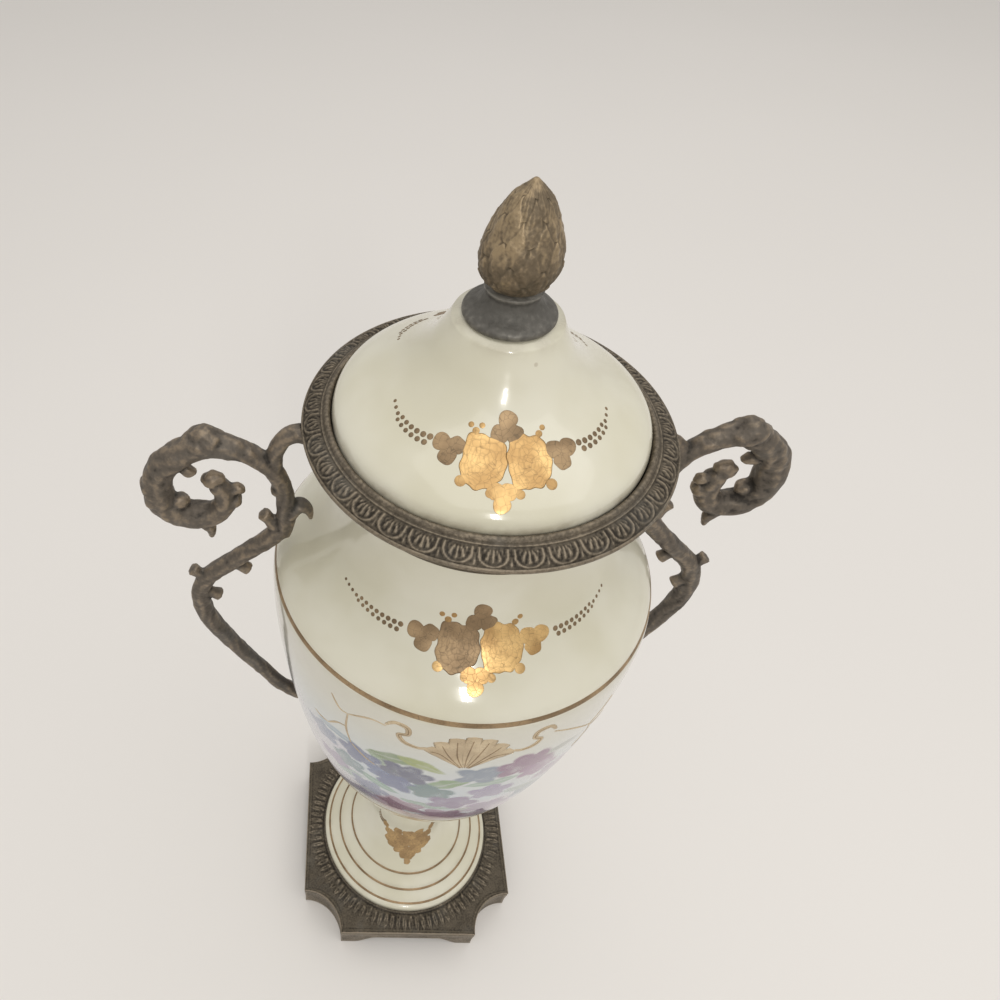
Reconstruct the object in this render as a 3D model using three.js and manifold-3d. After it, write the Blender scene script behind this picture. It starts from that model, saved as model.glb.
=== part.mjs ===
// A lidded mantel urn: a glazed porcelain vessel and trumpet foot on a cast bronze
// plate, with a bronze rim collar, two cast branch handles, a porcelain lid that
// lifts off, and a pine-cone finial on a turned spool.
// Millimetres, +Z up. The origin is on the ground under the middle of the plate.
// A profile is a list of [radius, height] pairs that is revolved about Z.
import * as THREE from 'three';
import { mergeVertices } from 'three/addons/utils/BufferGeometryUtils.js';
import Module from 'manifold-3d';

const wasm = await Module();
wasm.setup();

// ---- driving sizes ----
const clearance = 0.3; // left between two pieces that touch
const round = 28; // facets round the large turned pieces

const plate = {
  half: 53, // centre to a straight side
  side: 33.8, // half the length of a straight side, between the cut corners
  height: 20.7,
  top: 5, // thickness of the top
  wall: 5, // thickness of the skirt
  seatRadius: 36, // round opening under the porcelain foot
  archHeight: 10,
  archHalf: 24,
};
const foot = { radius: 43, rimHeight: 4, top: 111.4, wall: 4 };
const body = { bottom: foot.top + clearance, lip: 322, neck: 34, wall: 4 };
const collar = { radius: 45, edge: 324, ledge: 322.3, bottom: 311, inner: 37.9 };
const lid = { radius: 37.6, top: 354.2, seat: 11.9, wall: 3.2, bottom: collar.ledge + clearance };
const spool = { radius: 10.1, bottom: lid.top + clearance, top: 361.7, neck: 5.9 };
const cone = { bottom: spool.top + clearance, tip: 384, radius: 9, columns: 8, rows: 6 };
const handle = { turn: THREE.MathUtils.degToRad(3), sides: 7, root: 52 };
// The two castings are bent by hand: how far each reaches out, how far it sags, and how
// far below the collar's edge its root is fixed.
const bends = {
  left: { reach: 1, sag: 1.5, drop: 0 },
  right: { reach: 0.88, sag: 3.5, drop: 3 },
};

// ---- finishes ----
const glaze = { color: 0xe4dfcd, roughness: 0.15, metalness: 0 };
const bronze = { color: 0x6b6152, roughness: 0.5, metalness: 0.8 };
const darkMetal = { color: 0x57564f, roughness: 0.5, metalness: 0.6 };
const wornBronze = { color: 0x8a7a5c, roughness: 0.5, metalness: 0.8 };

// ---- helpers ----

// Keeps only positions, merged, with the faces of a closed solid pointing out.
function solidGeometry(geometry) {
  geometry.deleteAttribute('normal');
  geometry.deleteAttribute('uv');
  const merged = mergeVertices(geometry, 1e-4);
  const index = Array.from(merged.index.array);
  const p = merged.attributes.position;
  const corner = (i) => new THREE.Vector3().fromBufferAttribute(p, index[i]);
  let volume = 0;
  const kept = [];
  for (let i = 0; i < index.length; i += 3) {
    const [a, b, c] = [index[i], index[i + 1], index[i + 2]];
    if (a === b || b === c || c === a) continue;
    kept.push(a, b, c);
    volume += corner(i).dot(corner(i + 1).cross(corner(i + 2)));
  }
  merged.setIndex(volume < 0 ? kept.reverse() : kept);
  return merged;
}

function toManifold(geometry) {
  const solid = solidGeometry(geometry);
  const vertProperties = new Float32Array(solid.attributes.position.array);
  const triVerts = new Uint32Array(solid.index.array);
  return new wasm.Manifold(new wasm.Mesh({ numProp: 3, vertProperties, triVerts }));
}

function fromManifold(manifold) {
  const mesh = manifold.getMesh();
  const geometry = new THREE.BufferGeometry();
  const positions = new Float32Array(mesh.vertProperties);
  geometry.setAttribute('position', new THREE.BufferAttribute(positions, 3));
  geometry.setIndex(Array.from(mesh.triVerts));
  return geometry;
}

// Points along a smooth curve through a few knots.
function smooth(knots, count) {
  const curve = new THREE.SplineCurve(knots.map(([r, z]) => new THREE.Vector2(r, z)));
  return curve.getSpacedPoints(count).map((p) => [p.x, p.y]);
}

// The same curve moved sideways by a wall's thickness, on the side of the axis.
function inset(points, wall) {
  return points.map(([r, z], i) => {
    const before = points[Math.max(i - 1, 0)];
    const after = points[Math.min(i + 1, points.length - 1)];
    const [dr, dz] = [after[0] - before[0], after[1] - before[1]];
    const length = Math.hypot(dr, dz);
    return [Math.max(r - (wall * dz) / length, 0), z + (wall * dr) / length];
  });
}

function turned(profile, facets = round) {
  const points = profile.map(([r, z]) => new THREE.Vector2(r, z));
  return solidGeometry(new THREE.LatheGeometry(points, facets).rotateX(Math.PI / 2));
}

// A tapered limb: a cylinder bent along a curve in the XZ plane. Radii are spread
// evenly along the curve; flat stretches the section across the plane.
function limb(path, radii, { steps = 8, sides = handle.sides, flat = 1 } = {}) {
  const curve = new THREE.CatmullRomCurve3(path.map(([x, z]) => new THREE.Vector3(x, 0, z)));
  const geometry = new THREE.CylinderGeometry(1, 1, 1, sides, steps);
  const p = geometry.attributes.position;
  const across = new THREE.Vector3(0, 1, 0);
  for (let i = 0; i < p.count; i++) {
    const t = THREE.MathUtils.clamp(p.getY(i) + 0.5, 0, 1);
    const place = t * (radii.length - 1);
    const k = Math.min(Math.floor(place), radii.length - 2);
    const radius = THREE.MathUtils.lerp(radii[k], radii[k + 1], place - k);
    const normal = curve.getTangentAt(t).cross(across);
    const point = curve.getPointAt(t);
    point.addScaledVector(normal, radius * p.getX(i));
    point.addScaledVector(across, radius * flat * p.getZ(i));
    p.setXYZ(i, point.x, point.y, point.z);
  }
  return toManifold(geometry);
}

function ball(x, z, radius) {
  return toManifold(new THREE.SphereGeometry(radius, 7, 5).translate(x, 0, z));
}

function piece(name, geometry, finish) {
  const mesh = new THREE.Mesh(geometry, new THREE.MeshStandardMaterial(finish));
  mesh.name = name;
  return mesh;
}

// ---- cast plate: a square with concave quarter-round corners on four low feet ----

// The outline, drawn inwards by a wall's thickness. Each cut corner is an arc
// centred on the corner of the full square.
function plateOutline(wall) {
  const { half, side } = plate;
  const shape = new THREE.Shape();
  const arc = half - side + wall;
  const reach = Math.acos(wall / arc);
  for (let quarter = 0; quarter < 4; quarter++) {
    const turn = (quarter * Math.PI) / 2;
    const centre = new THREE.Vector2(half, half).rotateAround(new THREE.Vector2(), turn);
    const start = turn - Math.PI + reach;
    const end = turn - Math.PI / 2 - reach;
    shape.absarc(centre.x, centre.y, arc, start, end, true);
  }
  return shape;
}

function arch() {
  const { archHalf, archHeight } = plate;
  const shape = new THREE.Shape();
  const below = -1;
  shape.moveTo(-archHalf - 4, below);
  shape.lineTo(archHalf + 4, below);
  shape.bezierCurveTo(archHalf, 1, archHalf + 1, archHeight, archHalf - 8, archHeight);
  shape.lineTo(8 - archHalf, archHeight);
  shape.bezierCurveTo(-archHalf - 1, archHeight, -archHalf, 1, -archHalf - 4, below);
  const through = 2 * plate.half + 10;
  const options = { depth: through, bevelEnabled: false, curveSegments: 4 };
  const geometry = new THREE.ExtrudeGeometry(shape, options);
  return geometry.translate(0, 0, -through / 2).rotateX(Math.PI / 2);
}

function makePlate() {
  const { height, top, wall, seatRadius } = plate;
  const flat = { bevelEnabled: false, curveSegments: 6 };
  const slab = new THREE.ExtrudeGeometry(plateOutline(0), { ...flat, depth: height });
  const hollow = new THREE.ExtrudeGeometry(plateOutline(wall), { ...flat, depth: height });
  const seat = new THREE.CylinderGeometry(seatRadius, seatRadius, 3 * height, 28);
  const lengthwise = arch();
  const crosswise = lengthwise.clone().rotateZ(Math.PI / 2);
  const solid = toManifold(slab)
    .subtract(toManifold(hollow.translate(0, 0, -top)))
    .subtract(toManifold(seat.rotateX(Math.PI / 2)))
    .subtract(toManifold(lengthwise))
    .subtract(toManifold(crosswise));
  return fromManifold(solid);
}

// ---- porcelain foot: a low disc that sweeps up into a slim stem, hollow below ----

function makeFoot() {
  const bottom = plate.height + clearance;
  const { radius, rimHeight, top, wall } = foot;
  const sweep = [
    [radius, bottom + rimHeight - 1.2], [42.3, bottom + rimHeight], [40.3, 25.9], [34.7, 30],
    [28.6, 34.6], [21, 42.5], [15.3, 55], [12.6, 70], [13, 84], [17.5, 96], [18.5, 104],
    [14.5, top],
  ];
  const outside = smooth(sweep, 13);
  const underside = inset(smooth(sweep.slice(1, 9), 5), wall).reverse();
  const crown = underside[0][1] + wall;
  const profile = [
    [0, crown], ...underside, [radius - wall, bottom], [radius, bottom], ...outside, [0, top],
  ];
  return turned(profile);
}

// ---- porcelain vessel: wide shoulder, straight flank, tapering belly, narrow neck ----

const bodyKnots = [
  [13.5, body.bottom], [22, 119], [31.5, 133], [39.8, 152], [46.2, 173], [50.7, 196],
  [53.9, 222], [55.5, 246], [55.6, 262], [54.6, 271], [50.6, 276.6], [43.6, 282.2],
  [37.2, 290], [34, 300], [33.6, 311], [body.neck, body.lip],
];

const bodyOutside = smooth(bodyKnots, 18);

// The radius of the flank at a height, for what lies against the wall.
function flankRadius(z) {
  const flank = bodyKnots.slice(3, 10);
  const k = Math.max(flank.findIndex((knot) => knot[1] > z), 1);
  const [[r0, z0], [r1, z1]] = [flank[k - 1], flank[k]];
  return THREE.MathUtils.lerp(r0, r1, (z - z0) / (z1 - z0));
}

function makeBody() {
  const inside = inset(smooth(bodyKnots, 10).slice(1, -1), body.wall).reverse();
  const floor = inside.at(-1)[1];
  const mouth = [body.neck - body.wall, body.lip];
  return turned([[0, body.bottom], ...bodyOutside, mouth, ...inside, [0, floor]]);
}

// ---- rim collar: bead by the lid, sloping band, convex frieze, thin outer edge ----

function makeCollar() {
  const { radius, edge, ledge, bottom, inner } = collar;
  const bore = body.neck + clearance;
  const profile = [
    [bore, bottom], [36.8, bottom], [37.6, 314.5], [40.6, 319.4], [44.3, 322.6], [radius, 323.4],
    [radius, edge], [44.2, 324.9], [42.4, 326], [40.6, 326.5], [39.6, 326.6], [38.9, 327.5],
    [inner, 326.8], [inner, ledge], [bore, ledge], [bore, bottom],
  ];
  return turned(profile, 32);
}

// ---- lid: rounded edge, low dome, concave sweep up to the seat of the finial ----

function makeLid() {
  const { radius, top, seat, wall, bottom } = lid;
  const sweep = [
    [radius, 327], [36.7, 330], [33.6, 332.8], [28, 336.3], [22, 340.4], [17.2, 345.1],
    [14.3, 349.5], [12.6, 352.7], [seat, top],
  ];
  const outside = smooth(sweep, 11);
  const mouth = body.neck - body.wall;
  const flange = { outer: mouth - 0.6, inner: mouth - 3.4, bottom: 316 };
  const inside = inset(smooth(sweep.slice(2, -1), 4), wall).reverse();
  const profile = [
    [0, inside[0][1]], ...inside, [flange.inner, 330], [flange.inner, flange.bottom],
    [flange.outer, flange.bottom], [flange.outer, bottom], [radius - 0.9, bottom],
    [radius, bottom + 1], ...outside, [0, top],
  ];
  return turned(profile.filter(([r, z]) => r <= flange.inner || z < 327.1 || z > 329.9));
}

// ---- finial: turned spool, and a cone with rows of low scales ----

function makeSpool() {
  const { radius, bottom, top, neck } = spool;
  const profile = [
    [0, bottom], [radius - 0.4, bottom], [radius, bottom + 0.5], [radius, bottom + 1.4],
    [radius - 0.7, bottom + 2], [7.6, bottom + 3], [neck + 0.2, bottom + 4.6],
    [neck, top - 1.4], [neck + 0.5, top], [0, top],
  ];
  return turned(profile, 20);
}

// The scales stand in rings, each ring half a scale round from the last. A scale is
// highest near its tip, so every ring overhangs the next one down by a small step.
function makeCone() {
  const { bottom, tip, columns, rows } = cone;
  const outline = smooth([
    [5.2, bottom], [8, bottom + 1.9], [cone.radius, bottom + 5.4], [8.6, bottom + 9.4],
    [7.2, bottom + 13.8], [4.7, bottom + 18.3], [1.4, tip - 0.8],
  ], 11);
  const geometry = turned([[0, bottom], ...outline, [0, tip]], columns * 3);
  const p = geometry.attributes.position;
  for (let i = 0; i < p.count; i++) {
    const [x, y, z] = [p.getX(i), p.getY(i), p.getZ(i)];
    const level = ((z - bottom) / (tip - bottom)) * rows;
    const shift = Math.floor(level) % 2 ? 0.5 : 0;
    const turn = (Math.atan2(y, x) / (2 * Math.PI)) * columns + shift;
    const crown = Math.cos((turn - Math.round(turn)) * Math.PI);
    const inward = Math.hypot(x, y) < 2 ? 0 : 0.09 * (1 - crown * (1 - 0.6 * (level % 1)));
    p.setXYZ(i, x * (1 - inward), y * (1 - inward), z);
  }
  return geometry;
}

// ---- branch handle, in the XZ plane with X the distance from the urn's axis ----

function makeHandle({ reach, sag, drop }) {
  const heel = (z) => [flankRadius(z) + 0.9, z];
  const bend = ([x, z]) => {
    const out = Math.max(x - handle.root, 0);
    return [Math.min(x, handle.root) + reach * out, z - (sag * out) / 36];
  };
  const branch = (path, radii, options) => limb(path.map(bend), radii, options);
  const stem = branch(
    [[52.5, 281], [50.4, 289], [50.2, 298], [51.8, 306], [55.4, 312], [61.5, 316.6],
      [68, 318.6], [75, 316.4], [80.8, 311.4], [83.2, 304], [82.2, 297.2], [77.2, 293],
      [70.8, 292.4], [66.8, 295.6], [66.2, 301], [69, 305]],
    [2.8, 2.8, 2.6, 2.6, 3.1, 3.6, 3.9, 4.2, 3.9, 3.2, 2.6], { steps: 20 },
  );
  const arm = branch(
    [[50.8, 286], [56.5, 279.4], [66, 271.4], [75, 263.4], [78.6, 255], [78.4, 243],
      [74, 229], [68, 214.5], [62, 201.5], [57.4, 191.5], heel(181)],
    [2.9, 2.7, 2.7, 3, 2.9, 2.7, 2.5, 2.5, 2.9], { steps: 13 },
  );
  const root = branch([
    [collar.radius + 0.4, 320.4 - drop], [48.6, 320 - drop], [51.8, 314.6 - drop / 2], [52.6, 307],
  ], [3, 2.3, 2.2, 2.4], { steps: 3 });
  const backLeaf = limb([heel(180), heel(192), heel(204), heel(214)], [0.8, 1, 0.9, 0.4],
    { steps: 3, sides: 6, flat: 2.2 });
  const spur = branch([[50, 290], [46.6, 294], [44, 292], [43.4, 287.4]], [2.3, 2, 1.4, 0.4],
    { steps: 3, sides: 5, flat: 1.5 });
  const tail = branch([[74, 291], [71.6, 286.5], [71.6, 281.4]], [2.4, 1.8, 0.5],
    { steps: 2, sides: 5 });
  // Cut twigs: root and end of each, in the order they stand down the branch.
  const twigs = [
    [[53.5, 286], [56.6, 291.6]], [[68, 271], [62.6, 265.4]], [[76, 263], [79.8, 267.6]],
    [[78, 257], [72.4, 252.4]],
  ].map((ends) => branch(ends, [2, 2], { steps: 1, sides: 5 }));
  const knots = [[69, 319.6, 4.7], [65, 298.4, 3.1], [68.4, 306, 2.9]]
    .map(([x, z, radius]) => ball(...bend([x, z]), radius));
  // The vessel's wall, grown by the clearance and with its facets in line with the
  // vessel's own, is cut away so that the heel and the leaf lie against it.
  const wallSide = inset(bodyOutside.slice(3, 12), -clearance);
  const wall = turned([[0, wallSide[0][1]], ...wallSide, [0, wallSide.at(-1)[1]]]);
  wall.rotateZ(-handle.turn);
  return [arm, root, backLeaf, spur, tail, ...twigs, ...knots]
    .reduce((whole, part) => whole.add(part), stem)
    .subtract(toManifold(wall));
}

// ---- assembly ----

const urn = new THREE.Group();
urn.add(piece('base_plate', makePlate(), bronze));
urn.add(piece('foot', makeFoot(), glaze));
urn.add(piece('body', makeBody(), glaze));
urn.add(piece('rim_collar', makeCollar(), bronze));
urn.add(piece('lid', makeLid(), glaze));
urn.add(piece('finial_base', makeSpool(), darkMetal));
urn.add(piece('finial_cone', makeCone(), wornBronze));

const handles = new THREE.Group();
handles.rotation.z = handle.turn;
const right = piece('handle_right', fromManifold(makeHandle(bends.right)), bronze);
const left = piece('handle_left', fromManifold(makeHandle(bends.left)), bronze);
left.rotation.z = Math.PI;
handles.add(right, left);
urn.add(handles);

export default urn;
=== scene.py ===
# %% [markdown]
# # A mantel urn in porcelain and bronze
# The real object is a lidded porcelain vase held together by cast metal: a square foot plate, a
# rim collar, two branch handles and a bud-shaped finial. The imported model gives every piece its
# place and size, so it is loaded first as a fixed frame, and each finished piece is built over
# the node it stands for. Lengths below are millimetres, the unit a potter would use, and are
# turned to metres only when a mesh is made.

# %% Load the frame
import math

import bpy
import numpy as np
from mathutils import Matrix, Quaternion, Vector


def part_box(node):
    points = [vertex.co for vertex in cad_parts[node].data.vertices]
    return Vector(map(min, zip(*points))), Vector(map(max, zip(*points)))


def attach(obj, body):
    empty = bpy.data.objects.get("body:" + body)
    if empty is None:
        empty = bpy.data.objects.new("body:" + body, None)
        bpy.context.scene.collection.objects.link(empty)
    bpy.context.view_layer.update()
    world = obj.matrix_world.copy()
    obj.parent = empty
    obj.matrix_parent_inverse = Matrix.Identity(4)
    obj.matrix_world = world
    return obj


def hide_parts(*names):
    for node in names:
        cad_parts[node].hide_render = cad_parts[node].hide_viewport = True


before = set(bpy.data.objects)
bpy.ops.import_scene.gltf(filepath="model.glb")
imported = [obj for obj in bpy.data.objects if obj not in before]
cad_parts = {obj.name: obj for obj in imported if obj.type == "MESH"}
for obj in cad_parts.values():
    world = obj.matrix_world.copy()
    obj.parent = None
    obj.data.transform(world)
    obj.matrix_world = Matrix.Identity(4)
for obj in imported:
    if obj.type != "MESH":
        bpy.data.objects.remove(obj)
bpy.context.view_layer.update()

MM = 0.001
print("nodes:", sorted(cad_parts))

# %% [markdown]
# ## Grids that become meshes
# Most pieces are turned on a wheel or a lathe, or are little pads and lines laid on one that is.
# All of these are grids: rows along a profile, columns round it. One helper closes a grid round
# its columns and shuts both ends with a single point, so that no piece is left open. Blender's
# Screw modifier could turn a profile too, but relief such as a frieze is easier to add while the
# points are still an array.

# %% Paths
def smooth(knots, per_span=24):
    """A curve through the knots: in each span a cubic whose end slopes are half the chord
    between the neighbouring knots, the same rule that the CAD profiles follow."""
    knots = np.asarray(knots, float)
    padded = np.vstack([knots[:1], knots, knots[-1:]])
    before, start, end, after = padded[:-3], padded[1:-2], padded[2:-1], padded[3:]
    leave, arrive = (end - before) / 2, (after - start) / 2
    t = np.linspace(0, 1, per_span, endpoint=False)[None, :, None]
    start, end, leave, arrive = (a[:, None, :] for a in (start, end, leave, arrive))
    curve = ((2 * start - 2 * end + leave + arrive) * t**3
             + (3 * end - 3 * start - 2 * leave - arrive) * t**2 + leave * t + start)
    return np.vstack([curve.reshape(-1, knots.shape[1]), knots[-1:]])


def distances(path):
    """Length along a path up to each of its points: the running sum of the step lengths."""
    return np.concatenate([[0], np.cumsum(np.linalg.norm(np.diff(path, axis=0), axis=1))])


def even(path, spacing):
    """The same path with its points evenly spaced, found by straight interpolation."""
    s = distances(path)
    places = np.linspace(0, s[-1], max(int(round(s[-1] / spacing)), 1) + 1)
    return np.stack([np.interp(places, s, path[:, k]) for k in range(path.shape[1])], axis=1)


def offset(path, distance):
    """The path moved sideways: each point goes the distance to the left of its direction."""
    along = np.gradient(path, axis=0)
    along /= np.linalg.norm(along, axis=1, keepdims=True)
    return path + distance * np.stack([-along[:, 1], along[:, 0]], axis=1)


def step(low, high, x):
    """0 below low, 1 above high, and 3t^2 - 2t^3 between them."""
    t = np.clip((x - low) / (high - low), 0, 1)
    return t * t * (3 - 2 * t)


def hill(x, width):
    """A soft ridge: 1 where x is zero, falling away as the exponential of -(x / width)^2."""
    return np.exp(-((x / width) ** 2))


print("a curve through three knots has", len(smooth([[0, 0], [1, 1], [2, 0]])), "points")

# %% A closed grid as a mesh
def closed_grid(columns, poles=True):
    """Points and faces of a grid shaped (columns, rows, 3). Columns join round into a ring.
    With poles, the first and last rows shrink to one point each, at their mean; without, the
    last row joins the first. Faces point to the side of (next column) x (next row)."""
    count, rows = columns.shape[:2]
    points = columns.reshape(-1, 3)
    i = np.arange(count)[:, None]
    j = np.arange(rows - 1 if poles else rows)[None, :]
    here, there = i * rows, (i + 1) % count * rows
    up = (j + 1) % rows
    quads = np.stack([here + j, there + j, there + up, here + up], axis=-1).reshape(-1, 4)
    if not poles:
        return points, quads, np.zeros((0, 3), int)
    first, last = columns[:, 0].mean(axis=0), columns[:, -1].mean(axis=0)
    low, high = len(points), len(points) + 1
    here, there = here[:, 0], there[:, 0]
    bottom = np.stack([np.full(count, low), there, here], axis=-1)
    top = np.stack([np.full(count, high), here + rows - 1, there + rows - 1], axis=-1)
    return np.vstack([points, first, last]), quads, np.vstack([bottom, top])


def mesh_piece(name, parts, values=None):
    """A mesh object from (points, quads, triangles) parts in mm, written as whole arrays.
    values holds one number, or one colour, for each point of all the parts together."""
    points, corners, sizes = [], [], []
    made = 0
    for xyz, quads, tris in parts:
        points.append(xyz)
        for faces in (quads, tris):
            corners.append((faces + made).ravel())
            sizes.append(np.full(len(faces), faces.shape[1]))
        made += len(xyz)
    points, corners, sizes = np.vstack(points) * MM, np.concatenate(corners), np.concatenate(sizes)
    starts = np.concatenate([[0], np.cumsum(sizes)[:-1]])
    mesh = bpy.data.meshes.new(name)
    mesh.vertices.add(len(points))
    mesh.vertices.foreach_set("co", points.ravel())
    mesh.loops.add(len(corners))
    mesh.loops.foreach_set("vertex_index", corners.astype(np.int32))
    mesh.polygons.add(len(sizes))
    mesh.polygons.foreach_set("loop_start", starts.astype(np.int32))
    mesh.update(calc_edges=True)
    mesh.validate()
    mesh.shade_smooth()
    for label, data in (values or {}).items():
        add_values(mesh, label, data)
    piece = bpy.data.objects.new(name, mesh)
    bpy.context.scene.collection.objects.link(piece)
    return piece


def add_values(mesh, label, data):
    """Stores one number or one colour for each vertex under a name that a material can read."""
    data = np.asarray(data, np.float32)
    if data.ndim == 1:
        mesh.attributes.new(label, "FLOAT", "POINT").data.foreach_set("value", data)
    else:
        rgba = np.concatenate([data, np.ones((len(data), 1), np.float32)], axis=1)
        mesh.attributes.new(label, "FLOAT_COLOR", "POINT").data.foreach_set("color", rgba.ravel())


print("faces of a closed grid of 12 columns and 3 rows:",
      sum(len(faces) for faces in closed_grid(np.zeros((12, 3, 3)))[1:]))

# %% [markdown]
# ## Soft noise in numpy
# Cast bark, worn scales and washes of paint are all uneven. Blender's noise textures can't move
# the points of an array, so a small value noise is worked out here: random numbers on a lattice,
# blended smoothly between lattice points. The seed is fixed, so every run gives the same urn.

# %% Value noise
lattice_size = 32
lattice = np.random.default_rng(7).random((lattice_size,) * 3)


def mottle(points, size, layers=3):
    """Value noise from -1 to 1: eight lattice numbers round each point, mixed by smooth
    weights; each further layer is half the size and half as strong."""
    total, weight = np.zeros(points.shape[:-1]), 0
    for k in range(layers):
        p = points / size * 2**k + 5.3 * k
        cell = np.floor(p).astype(int)
        f = p - cell
        f = f * f * (3 - 2 * f)
        value = 0
        for dx in (0, 1):
            for dy in (0, 1):
                for dz in (0, 1):
                    share = (np.where(dx, f[..., 0], 1 - f[..., 0])
                             * np.where(dy, f[..., 1], 1 - f[..., 1])
                             * np.where(dz, f[..., 2], 1 - f[..., 2]))
                    at = (cell + [dx, dy, dz]) % lattice_size
                    value = value + share * lattice[at[..., 0], at[..., 1], at[..., 2]]
        total += (2 * value - 1) * 0.5**k
        weight += 0.5**k
    return total / weight


print("noise at the origin:", round(float(mottle(np.zeros((1, 3)), 4)[0]), 3))

# %% [markdown]
# ## Profiles taken from the frame
# A turned piece is its profile: radius against height. The profiles below are drawn in mm and
# then stretched to the box of the CAD node they stand for, so that the finished piece always
# fills the same space. A Skin keeps such a profile by the distance along it, which makes it easy
# to lay gilding on the glaze: a shape drawn flat, so many mm round and so many mm up, lands on
# the curved wall without being stretched.

# %% Turned pieces and their skins
def fit(profile, node):
    """Stretches a profile of (radius, height) to the widest radius and the two heights of a node."""
    low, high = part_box(node)
    profile = np.array(profile, float)
    bottom, top = profile[:, 1].min(), profile[:, 1].max()
    profile[:, 0] *= (high.x - low.x) / 2 / MM / profile[:, 0].max()
    share = (profile[:, 1] - bottom) / (top - bottom)
    profile[:, 1] = (low.z + share * (high.z - low.z)) / MM
    return profile


def around(degrees, radius, height):
    """Points at an angle from the front: x is r sin a, y is -r cos a."""
    a = np.radians(degrees)
    return np.stack(np.broadcast_arrays(radius * np.sin(a), -radius * np.cos(a), height), axis=-1)


def turned(profile, degrees):
    """A profile of (radius, height) carried round every angle, one column for each."""
    return around(degrees[:, None], profile[None, :, 0], profile[None, :, 1])


class Skin:
    """The glazed outside of a turned piece, measured by distance along its profile in mm."""

    def __init__(self, outside):
        self.path = outside
        self.s = distances(outside)

    def at_height(self, height):
        """The distance along the profile where it reaches that height."""
        return np.interp(height, self.path[:, 1], self.s)

    def at_radius(self, radius, low, high):
        """The distance where the wall has that radius, looked for between two heights."""
        near = np.where((self.path[:, 1] >= low) & (self.path[:, 1] <= high),
                        np.abs(self.path[:, 0] - radius), 1e9)
        return self.s[np.argmin(near)]

    def lay(self, degrees, s, lift):
        """Points on the wall, lifted along its normal, which is the profile's direction
        turned a quarter to the right."""
        def place(distance):
            """Radius and height of the wall at that distance."""
            return [np.interp(distance, self.s, self.path[:, k]) for k in (0, 1)]

        r, z = place(s)
        dr, dz = (ahead - behind for ahead, behind in zip(place(s + 0.2), place(s - 0.2)))
        size = np.hypot(dr, dz)
        return around(degrees, r + lift * dz / size, z - lift * dr / size)

    def radius(self, s):
        """The radius of the wall at that distance."""
        return np.interp(s, self.s, self.path[:, 0])


full_turn = np.arange(0, 360, 1.5)
print("columns in a plain turned piece:", len(full_turn))

# %% [markdown]
# ## Shader sums in plain Python
# Materials are built from nodes. Written out one node and one link at a time they are hard to
# read, so a small class wraps a socket and lets Python's own operators add the Math nodes. Any
# other node comes from one method, which takes its settings first and then its inputs. Colours
# are mixed with the Mix node, because Math nodes would turn them grey.

# %% A wrapped socket
class Wire:
    """A node output that can be added, multiplied and subtracted like a number."""

    def __init__(self, tree, socket):
        self.tree, self.socket = tree, socket

    def node(self, kind, settings=None, out=0, **inputs):
        """Any node in the same tree as this."""
        return make_node(self.tree, kind, settings, out, **inputs)

    def math(self, operation, *others):
        """A Math node on this value and the others."""
        inputs = {f"_{k}": value for k, value in enumerate((self, *others))}
        return self.node("ShaderNodeMath", {"operation": operation}, **inputs)

    def __add__(self, other):
        return self.math("ADD", other)

    def __mul__(self, other):
        return self.math("MULTIPLY", other)

    def __sub__(self, other):
        return self.math("SUBTRACT", other)

    def __rsub__(self, other):
        return self.node("ShaderNodeMath", {"operation": "SUBTRACT"}, _0=other, _1=self)

    __radd__, __rmul__ = __add__, __mul__

    def between(self, low, high):
        """0 below low, 1 above high and a soft step between them."""
        return self.node("ShaderNodeMapRange", {"interpolation_type": "SMOOTHSTEP"},
                         _0=self, _1=low, _2=high, _3=0.0, _4=1.0)


def make_node(tree, kind, settings=None, out=0, **inputs):
    """Any node: its settings are set first, then its inputs, by name or by _number."""
    node = tree.nodes.new(kind)
    for key, value in (settings or {}).items():
        setattr(node, key, value)
    for key, value in inputs.items():
        socket = node.inputs[int(key[1:])] if key[0] == "_" else node.inputs[key.replace("_", " ")]
        if isinstance(value, Wire):
            tree.links.new(value.socket, socket)
        else:
            socket.default_value = (*value, 1) if socket.type == "RGBA" else value
    return Wire(tree, node.outputs[out])


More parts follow.
